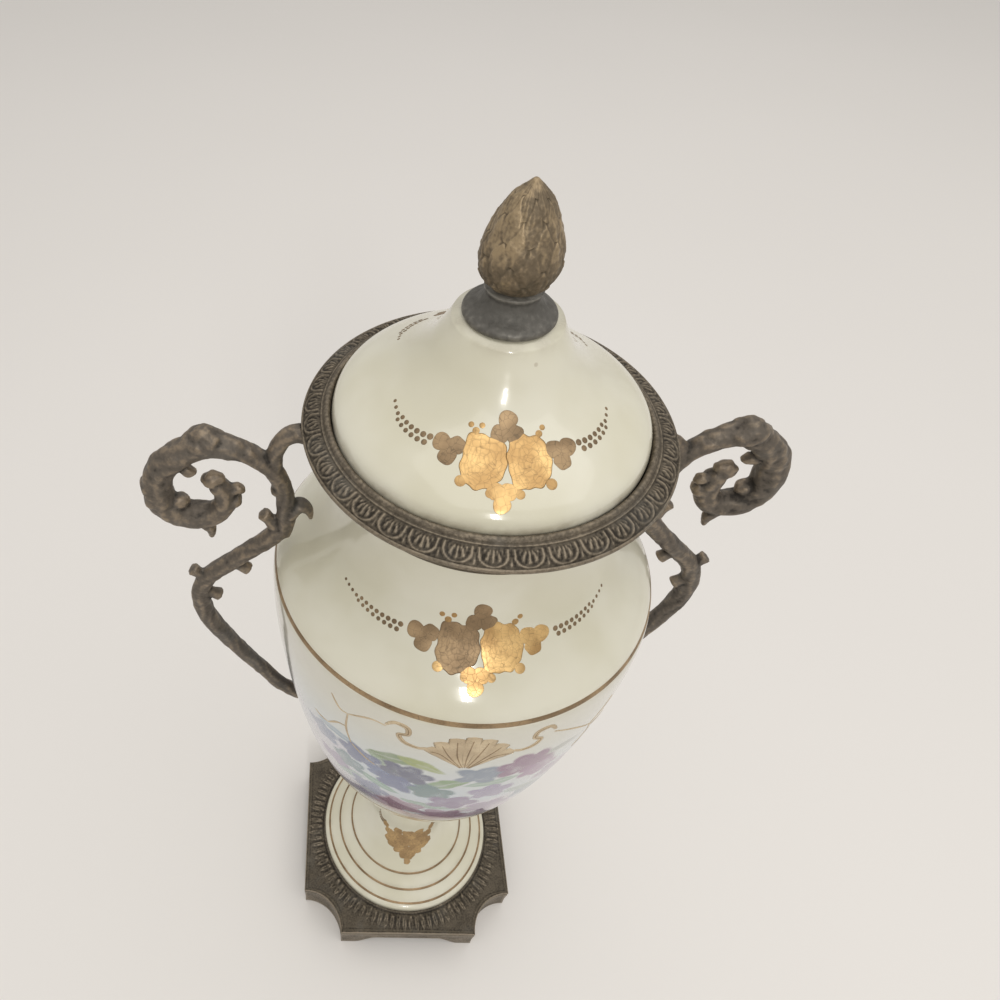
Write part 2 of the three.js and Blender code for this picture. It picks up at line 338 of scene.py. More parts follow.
class Finish:
    """A material with a Principled shader, object coordinates and a few patterns on them."""

    def __init__(self, name, **constants):
        self.material = bpy.data.materials.new(name)
        self.material.use_nodes = True
        self.tree = self.material.node_tree
        self.shader = self.tree.nodes["Principled BSDF"]
        for key, value in constants.items():
            self.shader.inputs[key.replace("_", " ")].default_value = value
        self.place = self.node("ShaderNodeTexCoord", out=3)

    def node(self, kind, settings=None, out=0, **inputs):
        """Any node in the same tree as this."""
        return make_node(self.tree, kind, settings, out, **inputs)

    def noise(self, size_mm, detail=4.0):
        """Noise whose blotches are about that many mm across."""
        return self.node("ShaderNodeTexNoise", Vector=self.place, Scale=1000 / size_mm, Detail=detail)

    def cells(self, size_mm, feature="F1"):
        """Cells about that many mm wide: the distance to their middles or to their edges."""
        return self.node("ShaderNodeTexVoronoi", {"feature": feature},
                         Vector=self.place, Scale=1000 / size_mm)

    def value(self, label, out=2):
        """What was stored on the vertices under that name: out 2 is a number, 0 a colour."""
        return self.node("ShaderNodeAttribute", {"attribute_name": label}, out=out)

    def mix(self, factor, first, second):
        """The first colour where the factor is 0 and the second where it is 1."""
        return self.node("ShaderNodeMix", {"data_type": "RGBA"}, out=2, _0=factor, _6=first, _7=second)

    def wear_bump(self, height, strength, depth_mm):
        """A normal that leans as if the surface rose by the height times the depth."""
        return self.node("ShaderNodeBump", Height=height, Strength=strength, Distance=depth_mm * MM)

    def feed(self, **inputs):
        """Links each pattern to the shader's input of that name."""
        for key, wire in inputs.items():
            self.tree.links.new(wire.socket, self.shader.inputs[key.replace("_", " ")])
        return self.material


print("sockets of a finish:", len(Finish("trial_finish").shader.inputs))
bpy.data.materials.remove(bpy.data.materials["trial_finish"])

# %% [markdown]
# ## Glaze
# The porcelain is a warm ivory, slightly green in the thick of the glaze, and glossy like wet
# glass. A clear coat over a fairly smooth base gives the sharp window reflections, and two scales
# of faint cloudiness and a few brown specks keep it from looking like plastic. Where the glaze
# meets metal or another part, and in the steps of the foot, it is darkened towards brown: partly
# dust, partly painted shade in those joints and creases. The painted vessel takes its colours
# from a vertex attribute, and the same recipe does for both.

# %% Porcelain glaze
def glaze(name, painted=False):
    """Ivory clouded by broad noise, tinted by stored paint and by dirt with painted shade, under a hard
    clear coat.
    """
    f = Finish(name, Coat_Weight=0.55, Coat_Roughness=0.03, IOR=1.5)
    cloud = f.noise(28, 3.0).between(0.35, 0.7)
    base = f.mix(cloud, (0.66, 0.63, 0.49), (0.73, 0.705, 0.585))
    if painted:
        base = f.mix(f.value("painted"), base, f.value("paint", out=0))
    speck = 1.0 - f.cells(9).between(0.03, 0.07)
    spot = speck * f.noise(14, 2.0).between(0.6, 0.66) * 0.35
    base = f.mix(spot, base, (0.30, 0.22, 0.13))
    # Painted shade, partly dust: joints and creases are darkened towards brown.
    grime_and_shade = f.value("dust_and_shade") * f.noise(5, 5.0).between(0.25, 0.75)
    base = f.mix(grime_and_shade * 0.75, base, (0.27, 0.22, 0.15))
    rough = f.noise(9, 4.0) * 0.1 + 0.12 + grime_and_shade * 0.3
    ripple = f.noise(16, 2.0)
    return f.feed(Base_Color=base, Roughness=rough, Normal=f.wear_bump(ripple, 0.12, 0.25))


glaze_plain = glaze("porcelain_glaze")
glaze_painted = glaze("painted_porcelain_glaze", painted=True)
print("glazes:", glaze_plain.name, glaze_painted.name)

# %% [markdown]
# ## Gilding
# The roses and dots are gold foil fired on the glaze, now rubbed: bright where it is whole, brown
# where it has thinned, and crossed by hairline cracks. A stored value darkens the edges and the
# grooves between petals, and a fine cell pattern gives the cracks.

# %% Gold foil
def gilding(name, bright, deep, worn, metallic, roughness):
    """Gold mottled from bright to deep, crossed by fine crack lines and dark in its grooves."""
    f = Finish(name, Metallic=metallic, Specular_IOR_Level=0.5)
    patch = f.noise(7, 5.0).between(0.36, 0.66)
    gold = f.mix(patch, deep, bright)
    crack = 1.0 - f.cells(1.5, "DISTANCE_TO_EDGE").between(0.0, 0.035)
    gold = f.mix(crack * 0.55, gold, worn)
    groove = f.value("groove")
    gold = f.mix(groove, gold, worn)
    rub = f.noise(1.2, 6.0).between(0.58, 0.75)
    gold = f.mix(rub * 0.45, gold, worn)
    rough = f.noise(3, 4.0) * 0.22 + roughness + groove * 0.15
    height = 1.0 - crack * 0.6 - groove * 0.5
    return f.feed(Base_Color=gold, Roughness=rough, Normal=f.wear_bump(height, 0.3, 0.08))


gold_bright = gilding("gold_foil", (0.92, 0.62, 0.27), (0.58, 0.36, 0.15), (0.25, 0.16, 0.08), 0.85, 0.26)
gold_brown = gilding("brown_gold", (0.46, 0.32, 0.18), (0.28, 0.19, 0.105), (0.11, 0.085, 0.055), 0.6, 0.34)
gold_aged = gilding("aged_gold", (0.60, 0.41, 0.20), (0.38, 0.25, 0.125), (0.19, 0.13, 0.075), 0.6, 0.34)
gold_pale = gilding("pale_gold", (0.70, 0.57, 0.38), (0.54, 0.42, 0.27), (0.33, 0.25, 0.15), 0.3, 0.32)
print("gilding:", gold_bright.name, gold_brown.name)

# %% [markdown]
# ## Cast metal
# The mounts are old plated bronze. Hollows are almost black with dirt, flats are a dull brown
# grey, and every high spot is rubbed to a paler tan. A stored wear value says how high a spot
# stands over its neighbours, and noise breaks it up so that the rubbing is never even.

# %% Bronze, dark metal and worn bronze
dull_patch = (0.17, 0.165, 0.15)


def cast_metal(name, hollow, flat, high, metallic, grain_mm, low_edge, high_edge, roughness=0.42):
    """Three colours by wear: hollow to flat to high, with the steps broken up by noise."""
    f = Finish(name, Metallic=metallic)
    wear = f.value("wear") + (f.noise(6, 4.0) - 0.5) * 0.4 + (f.noise(grain_mm, 5.0) - 0.5) * 0.65
    colour = f.mix(wear.between(0.12, low_edge), hollow, flat)
    colour = f.mix(wear.between(low_edge, high_edge), colour, high)
    grey = f.noise(11, 3.0).between(0.5, 0.8)
    colour = f.mix(grey * 0.35, colour, dull_patch)
    rough = (1.0 - wear.between(0.3, 0.9)) * 0.25 + roughness + (f.noise(2, 4.0) - 0.5) * 0.2
    pits = f.noise(grain_mm, 6.0) + f.cells(grain_mm * 1.4) * 0.4
    return f.feed(Base_Color=colour, Roughness=rough, Normal=f.wear_bump(pits, 0.7, 0.25))


bronze = cast_metal("old_bronze", (0.032, 0.026, 0.019), (0.112, 0.092, 0.066), (0.25, 0.205, 0.148),
                    0.55, 0.8, 0.5, 0.85)
bark_bronze = cast_metal("old_bronze_bark", (0.04, 0.034, 0.028), (0.135, 0.114, 0.092),
                         (0.28, 0.22, 0.155), 0.5, 1.0, 0.5, 0.95)
dark_metal = cast_metal("dark_metal", (0.06, 0.057, 0.05), (0.125, 0.118, 0.104), (0.24, 0.225, 0.195),
                        0.5, 1.2, 0.55, 0.95, 0.4)
worn_bronze = cast_metal("worn_bronze", (0.105, 0.082, 0.052), (0.17, 0.13, 0.083),
                         (0.38, 0.285, 0.17), 0.5, 0.9, 0.45, 0.95, 0.42)
print("metals:", bronze.name, bark_bronze.name, dark_metal.name, worn_bronze.name)

# %% Where the metal is rubbed
def add_wear(piece, rounds=3, gain=1.0, height=None):
    """Stores how far each vertex stands proud of the mean of its neighbours, along its normal
    and against the edge length, spread over a few rounds and centred on a half."""
    mesh = piece.data
    count = len(mesh.vertices)
    xyz = np.empty(count * 3, np.float32)
    normal = np.empty(count * 3, np.float32)
    mesh.vertices.foreach_get("co", xyz)
    mesh.vertex_normals.foreach_get("vector", normal)
    xyz, normal = xyz.reshape(-1, 3), normal.reshape(-1, 3)
    edges = np.empty(len(mesh.edges) * 2, np.int32)
    mesh.edges.foreach_get("vertices", edges)
    a, b = edges.reshape(-1, 2).T
    near = np.bincount(a, minlength=count) + np.bincount(b, minlength=count)

    def spread(field):
        """The mean of each vertex's neighbours."""
        total = np.bincount(a, field[b], count) + np.bincount(b, field[a], count)
        return total / np.maximum(near, 1)

    mean = np.stack([spread(xyz[:, k]) for k in range(3)], axis=1)
    edge_length = np.linalg.norm(xyz[a] - xyz[b], axis=1)
    length = np.bincount(a, edge_length, count) + np.bincount(b, edge_length, count)
    proud = ((xyz - mean) * normal).sum(axis=1) / np.maximum(length / np.maximum(near, 1), 1e-7)
    for _ in range(rounds):
        proud = 0.5 * proud + 0.5 * spread(proud)
    scale = np.percentile(np.abs(proud), 90) + 1e-9
    wear = 0.5 + 0.4 * gain * np.clip(proud / scale, -1.2, 1.2)
    if height is not None:
        wear = wear + height
    add_values(mesh, "wear", np.clip(wear, 0, 1))


def settle(piece, material, node=None):
    """Gives a finished piece its material and its body, hides the node it stands for, if any, and prints
    its face count.
    """
    piece.data.materials.append(material)
    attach(piece, "root")
    if node:
        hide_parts(node)
    print(piece.name, len(piece.data.polygons), "faces")
    return piece


print("wear and settling tools ready")

# %% [markdown]
# ## The vessel and its painted belly
# The body is thrown porcelain: narrow at the bottom, widest just under the shoulder, then a low
# cone up to the neck. Below the shoulder it carries a decal of loose watercolour flowers on a
# pale ground. An image could hold that, but the colours are laid here as numbers on the
# vertices: every petal is a soft-edged wash, so points 0.6 mm apart at the front are enough.

# %% Profile of the vessel
wall = 4
shoulder_line, lower_line = 271.3, 173.6
body_knots = [
    [13.5, 111.7], [22, 119], [31.5, 133], [39.8, 152], [46.2, 173], [50.7, 196], [53.9, 222],
    [55.5, 246], [55.6, 262], [54.6, 271], [50.6, 276.6], [43.6, 282.2], [37.2, 290],
    [34, 300], [33.6, 311], [34, 322],
]
body_outside = fit(smooth(body_knots), "body")
body_skin = Skin(body_outside)
painted_low, painted_high = body_skin.at_height(173), body_skin.at_height(270.4)
rows = np.concatenate([
    np.linspace(0, painted_low, 36, endpoint=False),
    np.linspace(painted_low, painted_high, 154, endpoint=False),
    np.linspace(painted_high, body_skin.s[-1], 42),
])
body_outer = np.stack([np.interp(rows, body_skin.s, body_outside[:, k]) for k in (0, 1)], axis=1)
body_inner = even(offset(body_outside, wall)[::-1], 8)
body_inner = body_inner[body_inner[:, 0] > 8]
body_columns = np.concatenate([np.arange(-63, 63, 0.63), np.arange(63, 297, 2)])
body_profile = np.vstack([body_outer, body_inner])
body_grid = turned(body_profile, body_columns)
print("vessel grid:", body_grid.shape)

# %% Washes and leaves
belly_radius = 54


def from_centre(degrees, height, centre):
    """How far each point is round and up from a centre given as (degrees, height), in mm."""
    around_by = np.radians((degrees - centre[0] + 180) % 360 - 180) * belly_radius
    return around_by, height - centre[1]


def wash(degrees, height, centre, size, turn=0, petals=5, depth=0.35):
    """How much of a flower covers each point, 0 to 1: distance from the centre, against a
    radius that swells and shrinks with the cosine of the petal count times the angle."""
    x, y = from_centre(degrees, height, centre)
    angle = np.arctan2(y, x) + turn
    radius = size * (1 - depth + depth * np.abs(np.cos(petals * angle / 2)))
    edge = np.hypot(x, y) / radius
    return 1 - step(0.82, 1.06, edge), edge, angle


def leaf(degrees, height, centre, length, width, tilt):
    """How much of a leaf covers each point: a spindle whose half width is the width times
    one minus the square of the place along it. Also how far off its midrib the point is."""
    x, y = from_centre(degrees, height, centre)
    a = np.radians(tilt)
    along = (x * np.cos(a) + y * np.sin(a)) / length
    across = (y * np.cos(a) - x * np.sin(a)) / width
    inside = 1 - along**2 - np.abs(across)
    return step(0.0, 0.25, inside) * (np.abs(along) < 1), np.abs(across)


print("a wash covers its middle by", float(wash(0.0, 200.0, (0, 200), 8)[0]))

# %% The bouquet
flowers = [  # degrees round, height, size, petals, colour
    (-32, 232, 8.0, 5, (0.06, 0.11, 0.32)), (-37, 219, 7.0, 5, (0.08, 0.24, 0.30)),
    (-24, 226, 6.0, 5, (0.08, 0.16, 0.42)), (-17, 233, 9.0, 6, (0.025, 0.04, 0.17)),
    (-19, 222, 8.0, 5, (0.05, 0.10, 0.34)), (-8, 221, 7.5, 5, (0.05, 0.20, 0.22)),
    (5, 240, 8.0, 5, (0.22, 0.30, 0.42)), (18, 243, 9.5, 6, (0.26, 0.05, 0.21)),
    (24, 234, 7.0, 5, (0.36, 0.12, 0.34)), (0, 211, 9.0, 5, (0.19, 0.07, 0.30)),
    (11, 222, 8.0, 5, (0.34, 0.26, 0.50)), (-17, 196, 10.0, 5, (0.42, 0.20, 0.36)),
    (-1, 191, 10.0, 6, (0.38, 0.17, 0.36)), (-29, 204, 8.0, 5, (0.20, 0.26, 0.50)),
    (14, 201, 9.0, 5, (0.32, 0.17, 0.42)), (33, 223, 8.0, 5, (0.36, 0.22, 0.44)),
    (-47, 229, 7.0, 5, (0.22, 0.30, 0.50)), (29, 206, 7.5, 5, (0.18, 0.30, 0.44)),
    (45, 230, 6.5, 5, (0.28, 0.32, 0.50)), (-44, 210, 7.0, 5, (0.30, 0.20, 0.46)),
    (42, 212, 7.0, 5, (0.40, 0.22, 0.42)), (-8, 180, 8.0, 5, (0.36, 0.18, 0.38)),
    (180, 232, 10.0, 5, (0.18, 0.24, 0.48)), (168, 222, 9.0, 5, (0.40, 0.20, 0.42)),
    (192, 221, 9.0, 5, (0.30, 0.36, 0.52)), (180, 210, 9.5, 5, (0.36, 0.20, 0.42)),
]
leaves = [  # degrees round, height, length, width, tilt, colour
    (-21, 243, 9, 4.0, 20, (0.12, 0.20, 0.06)), (-13, 244, 8, 3.6, -25, (0.26, 0.32, 0.06)),
    (-4, 231, 9, 4.0, 40, (0.13, 0.25, 0.08)), (-26, 214, 9, 3.6, -30, (0.14, 0.30, 0.22)),
    (10, 232, 9, 3.4, 15, (0.22, 0.34, 0.26)), (-41, 238, 9, 3.0, 10, (0.20, 0.30, 0.38)),
    (-8, 204, 10, 3.6, -15, (0.20, 0.32, 0.26)), (6, 200, 9, 3.4, 35, (0.26, 0.30, 0.26)),
    (25, 214, 10, 3.6, -35, (0.24, 0.32, 0.30)), (-38, 206, 9, 3.2, 45, (0.20, 0.34, 0.30)),
    (29, 246, 9, 2.8, -8, (0.30, 0.32, 0.28)), (38, 212, 8, 3.0, 20, (0.24, 0.34, 0.30)),
    (-24, 236, 7, 2.6, -50, (0.20, 0.30, 0.16)), (-10, 226, 8, 3.0, -40, (0.10, 0.22, 0.18)),
    (-22, 187, 16, 4.4, -30, (0.46, 0.30, 0.42)), (6, 184, 15, 4.2, 30, (0.42, 0.28, 0.44)),
    (158, 232, 11, 4.0, -25, (0.22, 0.34, 0.26)), (202, 232, 11, 4.0, 25, (0.22, 0.34, 0.26)),
    (162, 208, 10, 3.8, 30, (0.24, 0.34, 0.30)), (198, 208, 10, 3.8, -30, (0.24, 0.34, 0.30)),
    (-34, 190, 13, 3.6, 25, (0.34, 0.34, 0.50)), (24, 190, 13, 3.6, -25, (0.44, 0.30, 0.44)),
]
print(len(flowers), "flowers and", len(leaves), "leaves")

# %% Paint and dust on the vessel
cream, cool_white = np.array([0.65, 0.63, 0.54]), np.array([0.57, 0.615, 0.605])
lilac_haze, blue_haze = np.array([0.50, 0.42, 0.60]), np.array([0.42, 0.52, 0.66])
petal_depth = 0.62


def paint(points):
    """Colour of the decal at each point and how much of the wall it covers. Each wash moves
    the colour towards its own by its cover, and a petal fires deeper than it was mixed."""
    degrees = np.degrees(np.arctan2(points[:, 0], -points[:, 1]))
    height = points[:, 2]
    uneven = mottle(points, 5)
    fine = mottle(points + 50, 1.6)
    drift = degrees + 1.6 * uneven
    rise = height + 1.4 * mottle(points + 90, 5)
    warm = step(232, 266, height)[:, None]
    colour = warm * cream + (1 - warm) * cool_white + 0.02 * uneven[:, None]
    haze = step(248, 215, height) * (0.42 + 0.35 * mottle(points + 20, 13))
    blend = step(-0.25, 0.25, mottle(points + 70, 17))[:, None]
    tint = blend * lilac_haze + (1 - blend) * blue_haze
    colour += np.clip(haze, 0, 0.7)[:, None] * (tint - colour)
    for turn, z, length, width, tilt, tone in leaves:
        cover, across = leaf(drift, rise, (turn, z), length, width, tilt)
        cover = cover * (0.82 + 0.3 * uneven) * (0.75 + 0.4 * step(0.05, 0.2, across))
        colour += np.clip(cover, 0, 1)[:, None] * (np.array(tone) - colour)
    for turn, z, size, petals, tone in flowers:
        cover, edge, angle = wash(drift, rise, (turn, z), size, turn, petals)
        shade = 0.68 + 0.28 * step(0.55, 0.95, edge) + 0.25 * (edge < 0.28) + 0.3 * uneven
        vein = 0.16 * (np.cos(petals * 4 * angle) > 0.6) * (edge < 0.8)
        cover = np.clip(cover * (shade * 1.25 + vein + 0.12 * fine), 0, 1)
        colour += cover[:, None] * (petal_depth * np.array(tone) - colour)
    inside = step(173.5, 176.5, height + fine) * (1 - step(269.5, 270.5, height))
    outer_wall = np.hypot(points[:, 0], points[:, 1]) > 45
    return colour, inside * outer_wall


def dust_and_shade_near(points, heights, reach):
    """Dirt and painted shade that gather within a short reach above and below the given heights, where
    parts meet or the wall turns.
    """
    return np.clip(sum(hill(points[:, 2] - z, reach) for z in heights), 0, 1)


vessel = closed_grid(body_grid)
paint_colour, painted = paint(vessel[0])
# Painted shade, partly dust: darker under the collar, where the vessel sits in the foot, and along the
# shoulder band.
body_dust_and_shade = dust_and_shade_near(vessel[0], [316, 112], 3.2) * 0.8 + dust_and_shade_near(vessel[0], [271], 1.6) * 0.35
body = mesh_piece("vessel", [vessel], {"paint": paint_colour, "painted": painted, "dust_and_shade": body_dust_and_shade})
settle(body, glaze_painted, "body")

# %% [markdown]
# ## Foot and lid
# Both are plain turned porcelain. The foot is a low stepped disc that sweeps up to a slim stem,
# hollow underneath, and the lid is a low dome with a flange that drops inside the collar. Their
# inner walls are the outer profile moved inwards by the wall's thickness.

# %% Foot
foot_knots = [
    [43, 23.8], [42.3, 25], [40.3, 25.9], [34.7, 30], [28.6, 34.6], [21, 42.5], [15.3, 55],
    [12.6, 70], [13, 84], [17.5, 96], [18.5, 104], [14.5, 111.4],
]
foot_outside = fit(np.vstack([[[43, 21.0]], smooth(foot_knots)]), "foot")
foot_skin = Skin(foot_outside)
underside = offset(foot_outside[foot_outside[:, 1] < 86], wall)[::-1]
underside = underside[(underside[:, 1] > 21.2) & (underside[:, 0] < 38.8)]
foot_profile = np.vstack([even(underside, 2), [[39, 21.0]], even(foot_outside, 0.8)])
foot_grid = closed_grid(turned(foot_profile, full_turn))
# Painted shade, partly dust: darker in the steps of the foot and where the vessel sits on it.
foot_dust_and_shade = dust_and_shade_near(foot_grid[0], [21.5, 25.9, 30, 34.6], 0.8) * 0.45
foot_dust_and_shade += dust_and_shade_near(foot_grid[0], [111], 2.5) * 0.5
foot = mesh_piece("porcelain_foot", [foot_grid], {"dust_and_shade": foot_dust_and_shade})
settle(foot, glaze_plain, "foot")

# %% Lid
lid_wall = 3.2
lid_knots = [
    [37.6, 327], [36.7, 330], [33.6, 332.8], [28, 336.3], [22, 340.4], [17.2, 345.1],
    [14.3, 349.5], [12.6, 352.7], [11.9, 354.2],
]
lid_outside = smooth(lid_knots)
lid_skin = Skin(lid_outside)
lid_inside = offset(lid_outside, lid_wall)[::-1]
lid_inside = lid_inside[(lid_inside[:, 0] > 9) & (lid_inside[:, 0] < 26.6)]
flange = [[26.6, 330], [26.6, 316.2], [27, 316], [29, 316], [29.4, 316.2], [29.4, 322.6]]
rim = [[36.9, 322.6], [37.4, 322.9], [37.6, 323.6]]
lid_profile = np.vstack([even(lid_inside, 2), flange, rim, even(lid_outside, 0.7)])
lid_grid = closed_grid(turned(fit(lid_profile, "lid"), full_turn))
# Painted shade, partly dust: darker where the lid sits in the collar and under the finial.
lid_dust_and_shade = dust_and_shade_near(lid_grid[0], [327.2], 1.6) * 0.9 + dust_and_shade_near(lid_grid[0], [354.2], 1.5) * 0.4
lid = mesh_piece("porcelain_lid", [lid_grid], {"dust_and_shade": lid_dust_and_shade})
settle(lid, glaze_plain, "lid")

# %% [markdown]
# ## Rim collar
# The collar is a cast ring pressed round the mouth. From the lid outwards it has a thin bead, a
# sloping frieze of thirty-six upturned shells each in its own loop, and a thin plain edge. The
# frieze is relief on a turned grid: its height is a function of the angle and of the place
# across the band, worked out for all points at once.

# %% Frieze of shells
def shells(x, t):
    """Height of one shell, x from -1 to 1 across it and t from 0 at its foot to 1 at its crown:
    a raised loop where an ellipse about the centre has size one, ribs that fan out inside it,
    and a thin dart between neighbours."""
    y = (t - 0.42) / 0.52
    size = np.where(y > 0, np.hypot(x / 0.8, y), np.abs(x) / 0.8)
    loop = hill(size - 1, 0.13) * step(0.04, 0.14, t)
    fan = np.arctan2(x, t + 0.25)
    ribs = (0.55 + 0.45 * np.cos(fan * 15)) * (1 - step(0.55, 0.8, size)) * step(0.05, 0.3, t)
    heart = hill(x, 0.2) * hill(t - 0.3, 0.16)
    dart = hill(np.abs(x) - 1, 0.09) * step(0.3, 0.6, t) * (1 - step(0.8, 1, t))
    return np.clip(0.9 * loop + 0.8 * ribs + 0.5 * heart + 0.6 * dart, 0, 1.2)


print("crown of a shell stands", round(float(shells(0.0, 0.94)), 2))

# %% Profile of the collar and its frieze
shell_turn = 360 / 36
relief_mm = 0.45
collar_columns = np.arange(0, 360, 0.5)
top_line = np.array([[40.3, 326.35], [42.2, 325.9], [44.0, 324.8], [44.5, 324.2]])
collar_under = even(smooth([[34.3, 311], [36.6, 311], [37.4, 314.5], [40.4, 319.3], [44.2, 322.5],
                            [45, 323.3], [45, 323.9], [44.7, 324.4]], 8), 0.7)
collar_band = even(smooth(top_line[::-1], 16), 0.16)
collar_bead = even(smooth([[40.2, 326.5], [39.7, 326.5], [39.5, 326.9], [39.0, 327.4], [38.4, 327.4],
                           [38.0, 326.9], [37.9, 326]], 8), 0.2)
collar_bore = even(np.array([[37.9, 325.6], [37.9, 322.3], [34.3, 322.3], [34.3, 311.6]]), 1.2)
collar_profile = np.vstack([collar_under, collar_band, collar_bead, collar_bore])
collar_grid = turned(collar_profile, collar_columns)
band = slice(len(collar_under), len(collar_under) + len(collar_band))
across = 1 - np.linspace(0, 1, len(collar_band))[None, :]
place = (collar_columns[:, None] % shell_turn) / (shell_turn / 2) - 1
uneven_cast = mottle(collar_grid[:, band], 0.9) * 0.42
relief = shells(place, across) - 0.75 + uneven_cast
relief = relief * 0.5 * np.sin(np.pi * across) ** 0.3
slope = np.radians(collar_columns)[:, None]
collar_grid[:, band] += relief_mm * relief[..., None] * np.stack(
    np.broadcast_arrays(np.sin(slope), -np.cos(slope), 2.0), axis=-1)
bead = slice(band.stop, band.stop + len(collar_bead))
pearls = 150
collar_grid[:, bead, 2] += 0.02 * np.cos(np.radians(collar_columns[:, None]) * pearls)
collar = mesh_piece("rim_collar_casting", [closed_grid(collar_grid, poles=False)])
high_spots = np.zeros(collar_grid.shape[:2])
high_spots[:, :band.start] = -0.12
high_spots[:, band] = relief * 0.45 + 0.03
high_spots[:, bead] = 0.08
add_wear(collar, 1, 0.8, high_spots.ravel())
settle(collar, bronze, "rim_collar")

# %% [markdown]
# ## Foot plate
# The plate is one casting: a square with a bite out of each corner, standing on four low feet
# with a shallow arch between them, and hollow underneath. A radial grid suits it, because the
# frieze of small leaves runs round the seat of the foot. Columns are placed so that the eight
# sharp corners of the outline fall exactly on one.

# %% Outline of the plate
half, side = 53.0, 33.8
plate_top, plate_wall, slab = 20.7, 5.0, 5.0
seat_radius = 36.0
arch_half, arch_height = 24.0, 10.0


def plate_edge(degrees):
    """Distance of the outline from the centre: a straight side is half over the cosine, and a
    bite is where the ray first meets a circle about the corner of the square."""
    a = np.abs(np.radians((degrees + 45) % 90 - 45))
    straight = half / np.cos(a)
    b = half - side
    lean = half * (np.cos(a) + np.sin(a))
    inside = np.maximum(lean**2 - 2 * half**2 + b**2, 0)
    bite = lean - np.sqrt(inside)
    return np.where(a < math.atan2(side, half) - 1e-6, straight, bite)


corner = math.degrees(math.atan2(side, half))
quarter = np.concatenate([
    np.linspace(-corner, corner, 130, endpoint=False),
    np.linspace(corner, 90 - corner, 50, endpoint=False),
])
plate_columns = np.concatenate([quarter + 90 * k for k in range(4)])
edge = plate_edge(plate_columns)
outline = around(plate_columns, edge, 0.0)[:, :2]
along = np.roll(outline, -1, axis=0) - np.roll(outline, 1, axis=0)
along /= np.linalg.norm(along, axis=1, keepdims=True)
inward = np.stack([-along[:, 1], along[:, 0]], axis=1)
run = np.abs(half * np.tan(np.radians((plate_columns + 45) % 90 - 45)))
on_side = np.abs((plate_columns + 45) % 90 - 45) < corner + 1e-6
opening = np.where(on_side, arch_height * (1 - step(arch_half - 8, arch_half + 3, run)), 0)
print("columns round the plate:", len(plate_columns))

# %% Rows of the plate, from the seat outwards, down the side and back underneath
top_count = 46
leaf_count = 96
bevel = 0.7
moulding_foot = 3.9


def row_at(radius, height):
    """One ring of points at a radius and a height given for every column."""
    return around(plate_columns, radius, height)[:, None, :]


def wall_row(inset, height):
    """A ring that follows the outline, moved inwards along its normal."""
    xy = outline + inward * inset
    return np.concatenate([xy, np.broadcast_to(height, len(xy))[:, None]], axis=1)[:, None, :]


def top_height(radius):
    """Height of the top at a radius: a plain level, leaves that stand up as soft tongues with
    a crease along the middle, a ring round the seat, a lip at the edge and uneven casting."""
    petal = (plate_columns * leaf_count / 360) % 1 * 2 - 1
    cast = mottle(around(plate_columns, radius, 0.0), 2.2)
    tongue = 0.62 - 0.42 * step(49, 52.5, radius + 0.8 * cast)
    on_leaf = step(43.8, 46.4, radius + cast) * (1 - step(50.6, 52.8, radius + cast))
    leafy = np.exp(-((np.abs(petal) / tongue) ** 3)) * on_leaf * (0.62 + 0.9 * cast)
    crease = 0.5 * hill(petal, 0.24) * step(45.5, 48, radius)
    seat_ring = 0.45 * (1 - step(43.6, 44.4, radius)) - 0.25 * hill(radius - 43.9, 0.5)
    past_seat = step(0.0, 0.03, (radius - seat_radius) / (edge - bevel - seat_radius))
    lip = 0.4 * step(2.3, 1.5, edge - radius)
    height = plate_top - 0.75 + 0.66 * (leafy - crease * leafy) + seat_ring * past_seat * 0.8 + lip * 0.6
    uneven = 0.12 * mottle(around(plate_columns, radius, 9.0), 3)
    return np.minimum(height + uneven, plate_top)


rings = []
for share in np.linspace(0, 1, top_count + 1):
    radius = seat_radius + share * (edge - bevel - seat_radius)
    rings.append(row_at(radius, top_height(radius)))
for inset, drop in ((0.25, 0.25), (0.0, 0.8), (0.0, 2.0), (0.35, 2.5), (0.35, 3.4), (0.0, moulding_foot)):
    rings.append(wall_row(inset, plate_top - drop))
for share in np.linspace(0.06, 1, 16):
    start = plate_top - moulding_foot
    rings.append(wall_row(0.35 * np.sin(np.pi * share), start + share * (opening - start)))
for share in np.linspace(0, 1, 5):
    rings.append(wall_row(0.4 + share * (plate_wall - 0.4), opening))
for share in np.linspace(0.2, 1, 6):
    rings.append(wall_row(plate_wall, opening + share * (plate_top - slab - opening)))
for share in np.linspace(0.2, 1, 6):
    wall_side = (outline + inward * plate_wall) * (1 - share)
    seat_side = around(plate_columns, seat_radius, 0.0)[:, :2] * share
    under = np.full((len(edge), 1), plate_top - slab)
    rings.append(np.concatenate([wall_side + seat_side, under], axis=1)[:, None, :])
for height in (plate_top - 3.5, plate_top - 1.6):
    rings.append(row_at(seat_radius, height))
plate_grid = np.concatenate(rings, axis=1)[:, ::-1]
plate_grid[..., 2] *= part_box("base_plate")[1].z / MM / plate_top
print("plate grid:", plate_grid.shape, "turn check", bool(inward[0] @ outline[0] < 0))

# %% Finish the plate
plate = mesh_piece("foot_plate_casting", [closed_grid(plate_grid, poles=False)])
on_the_side = plate_grid[..., 2] < plate_top - 1.2
rubbed = np.where(on_the_side, 0.16 + 0.1 * mottle(plate_grid, 7), -0.08)
add_wear(plate, 1, 0.9, rubbed.ravel())
settle(plate, bronze, "base_plate")

# %% [markdown]
# ## Branch handles
# Each handle is cast as a lopped branch: it leaves the collar, drops to a knot, rises into a
# scroll that curls in on itself, and sends a second stem out and down to the belly. It is built
# as bent tapering limbs with bark pressed into them while they are still smooth tubes. A Remesh
# modifier then melts the limbs into one skin, as the mould would. The two castings differ a
# little, because old ones are bent by use.

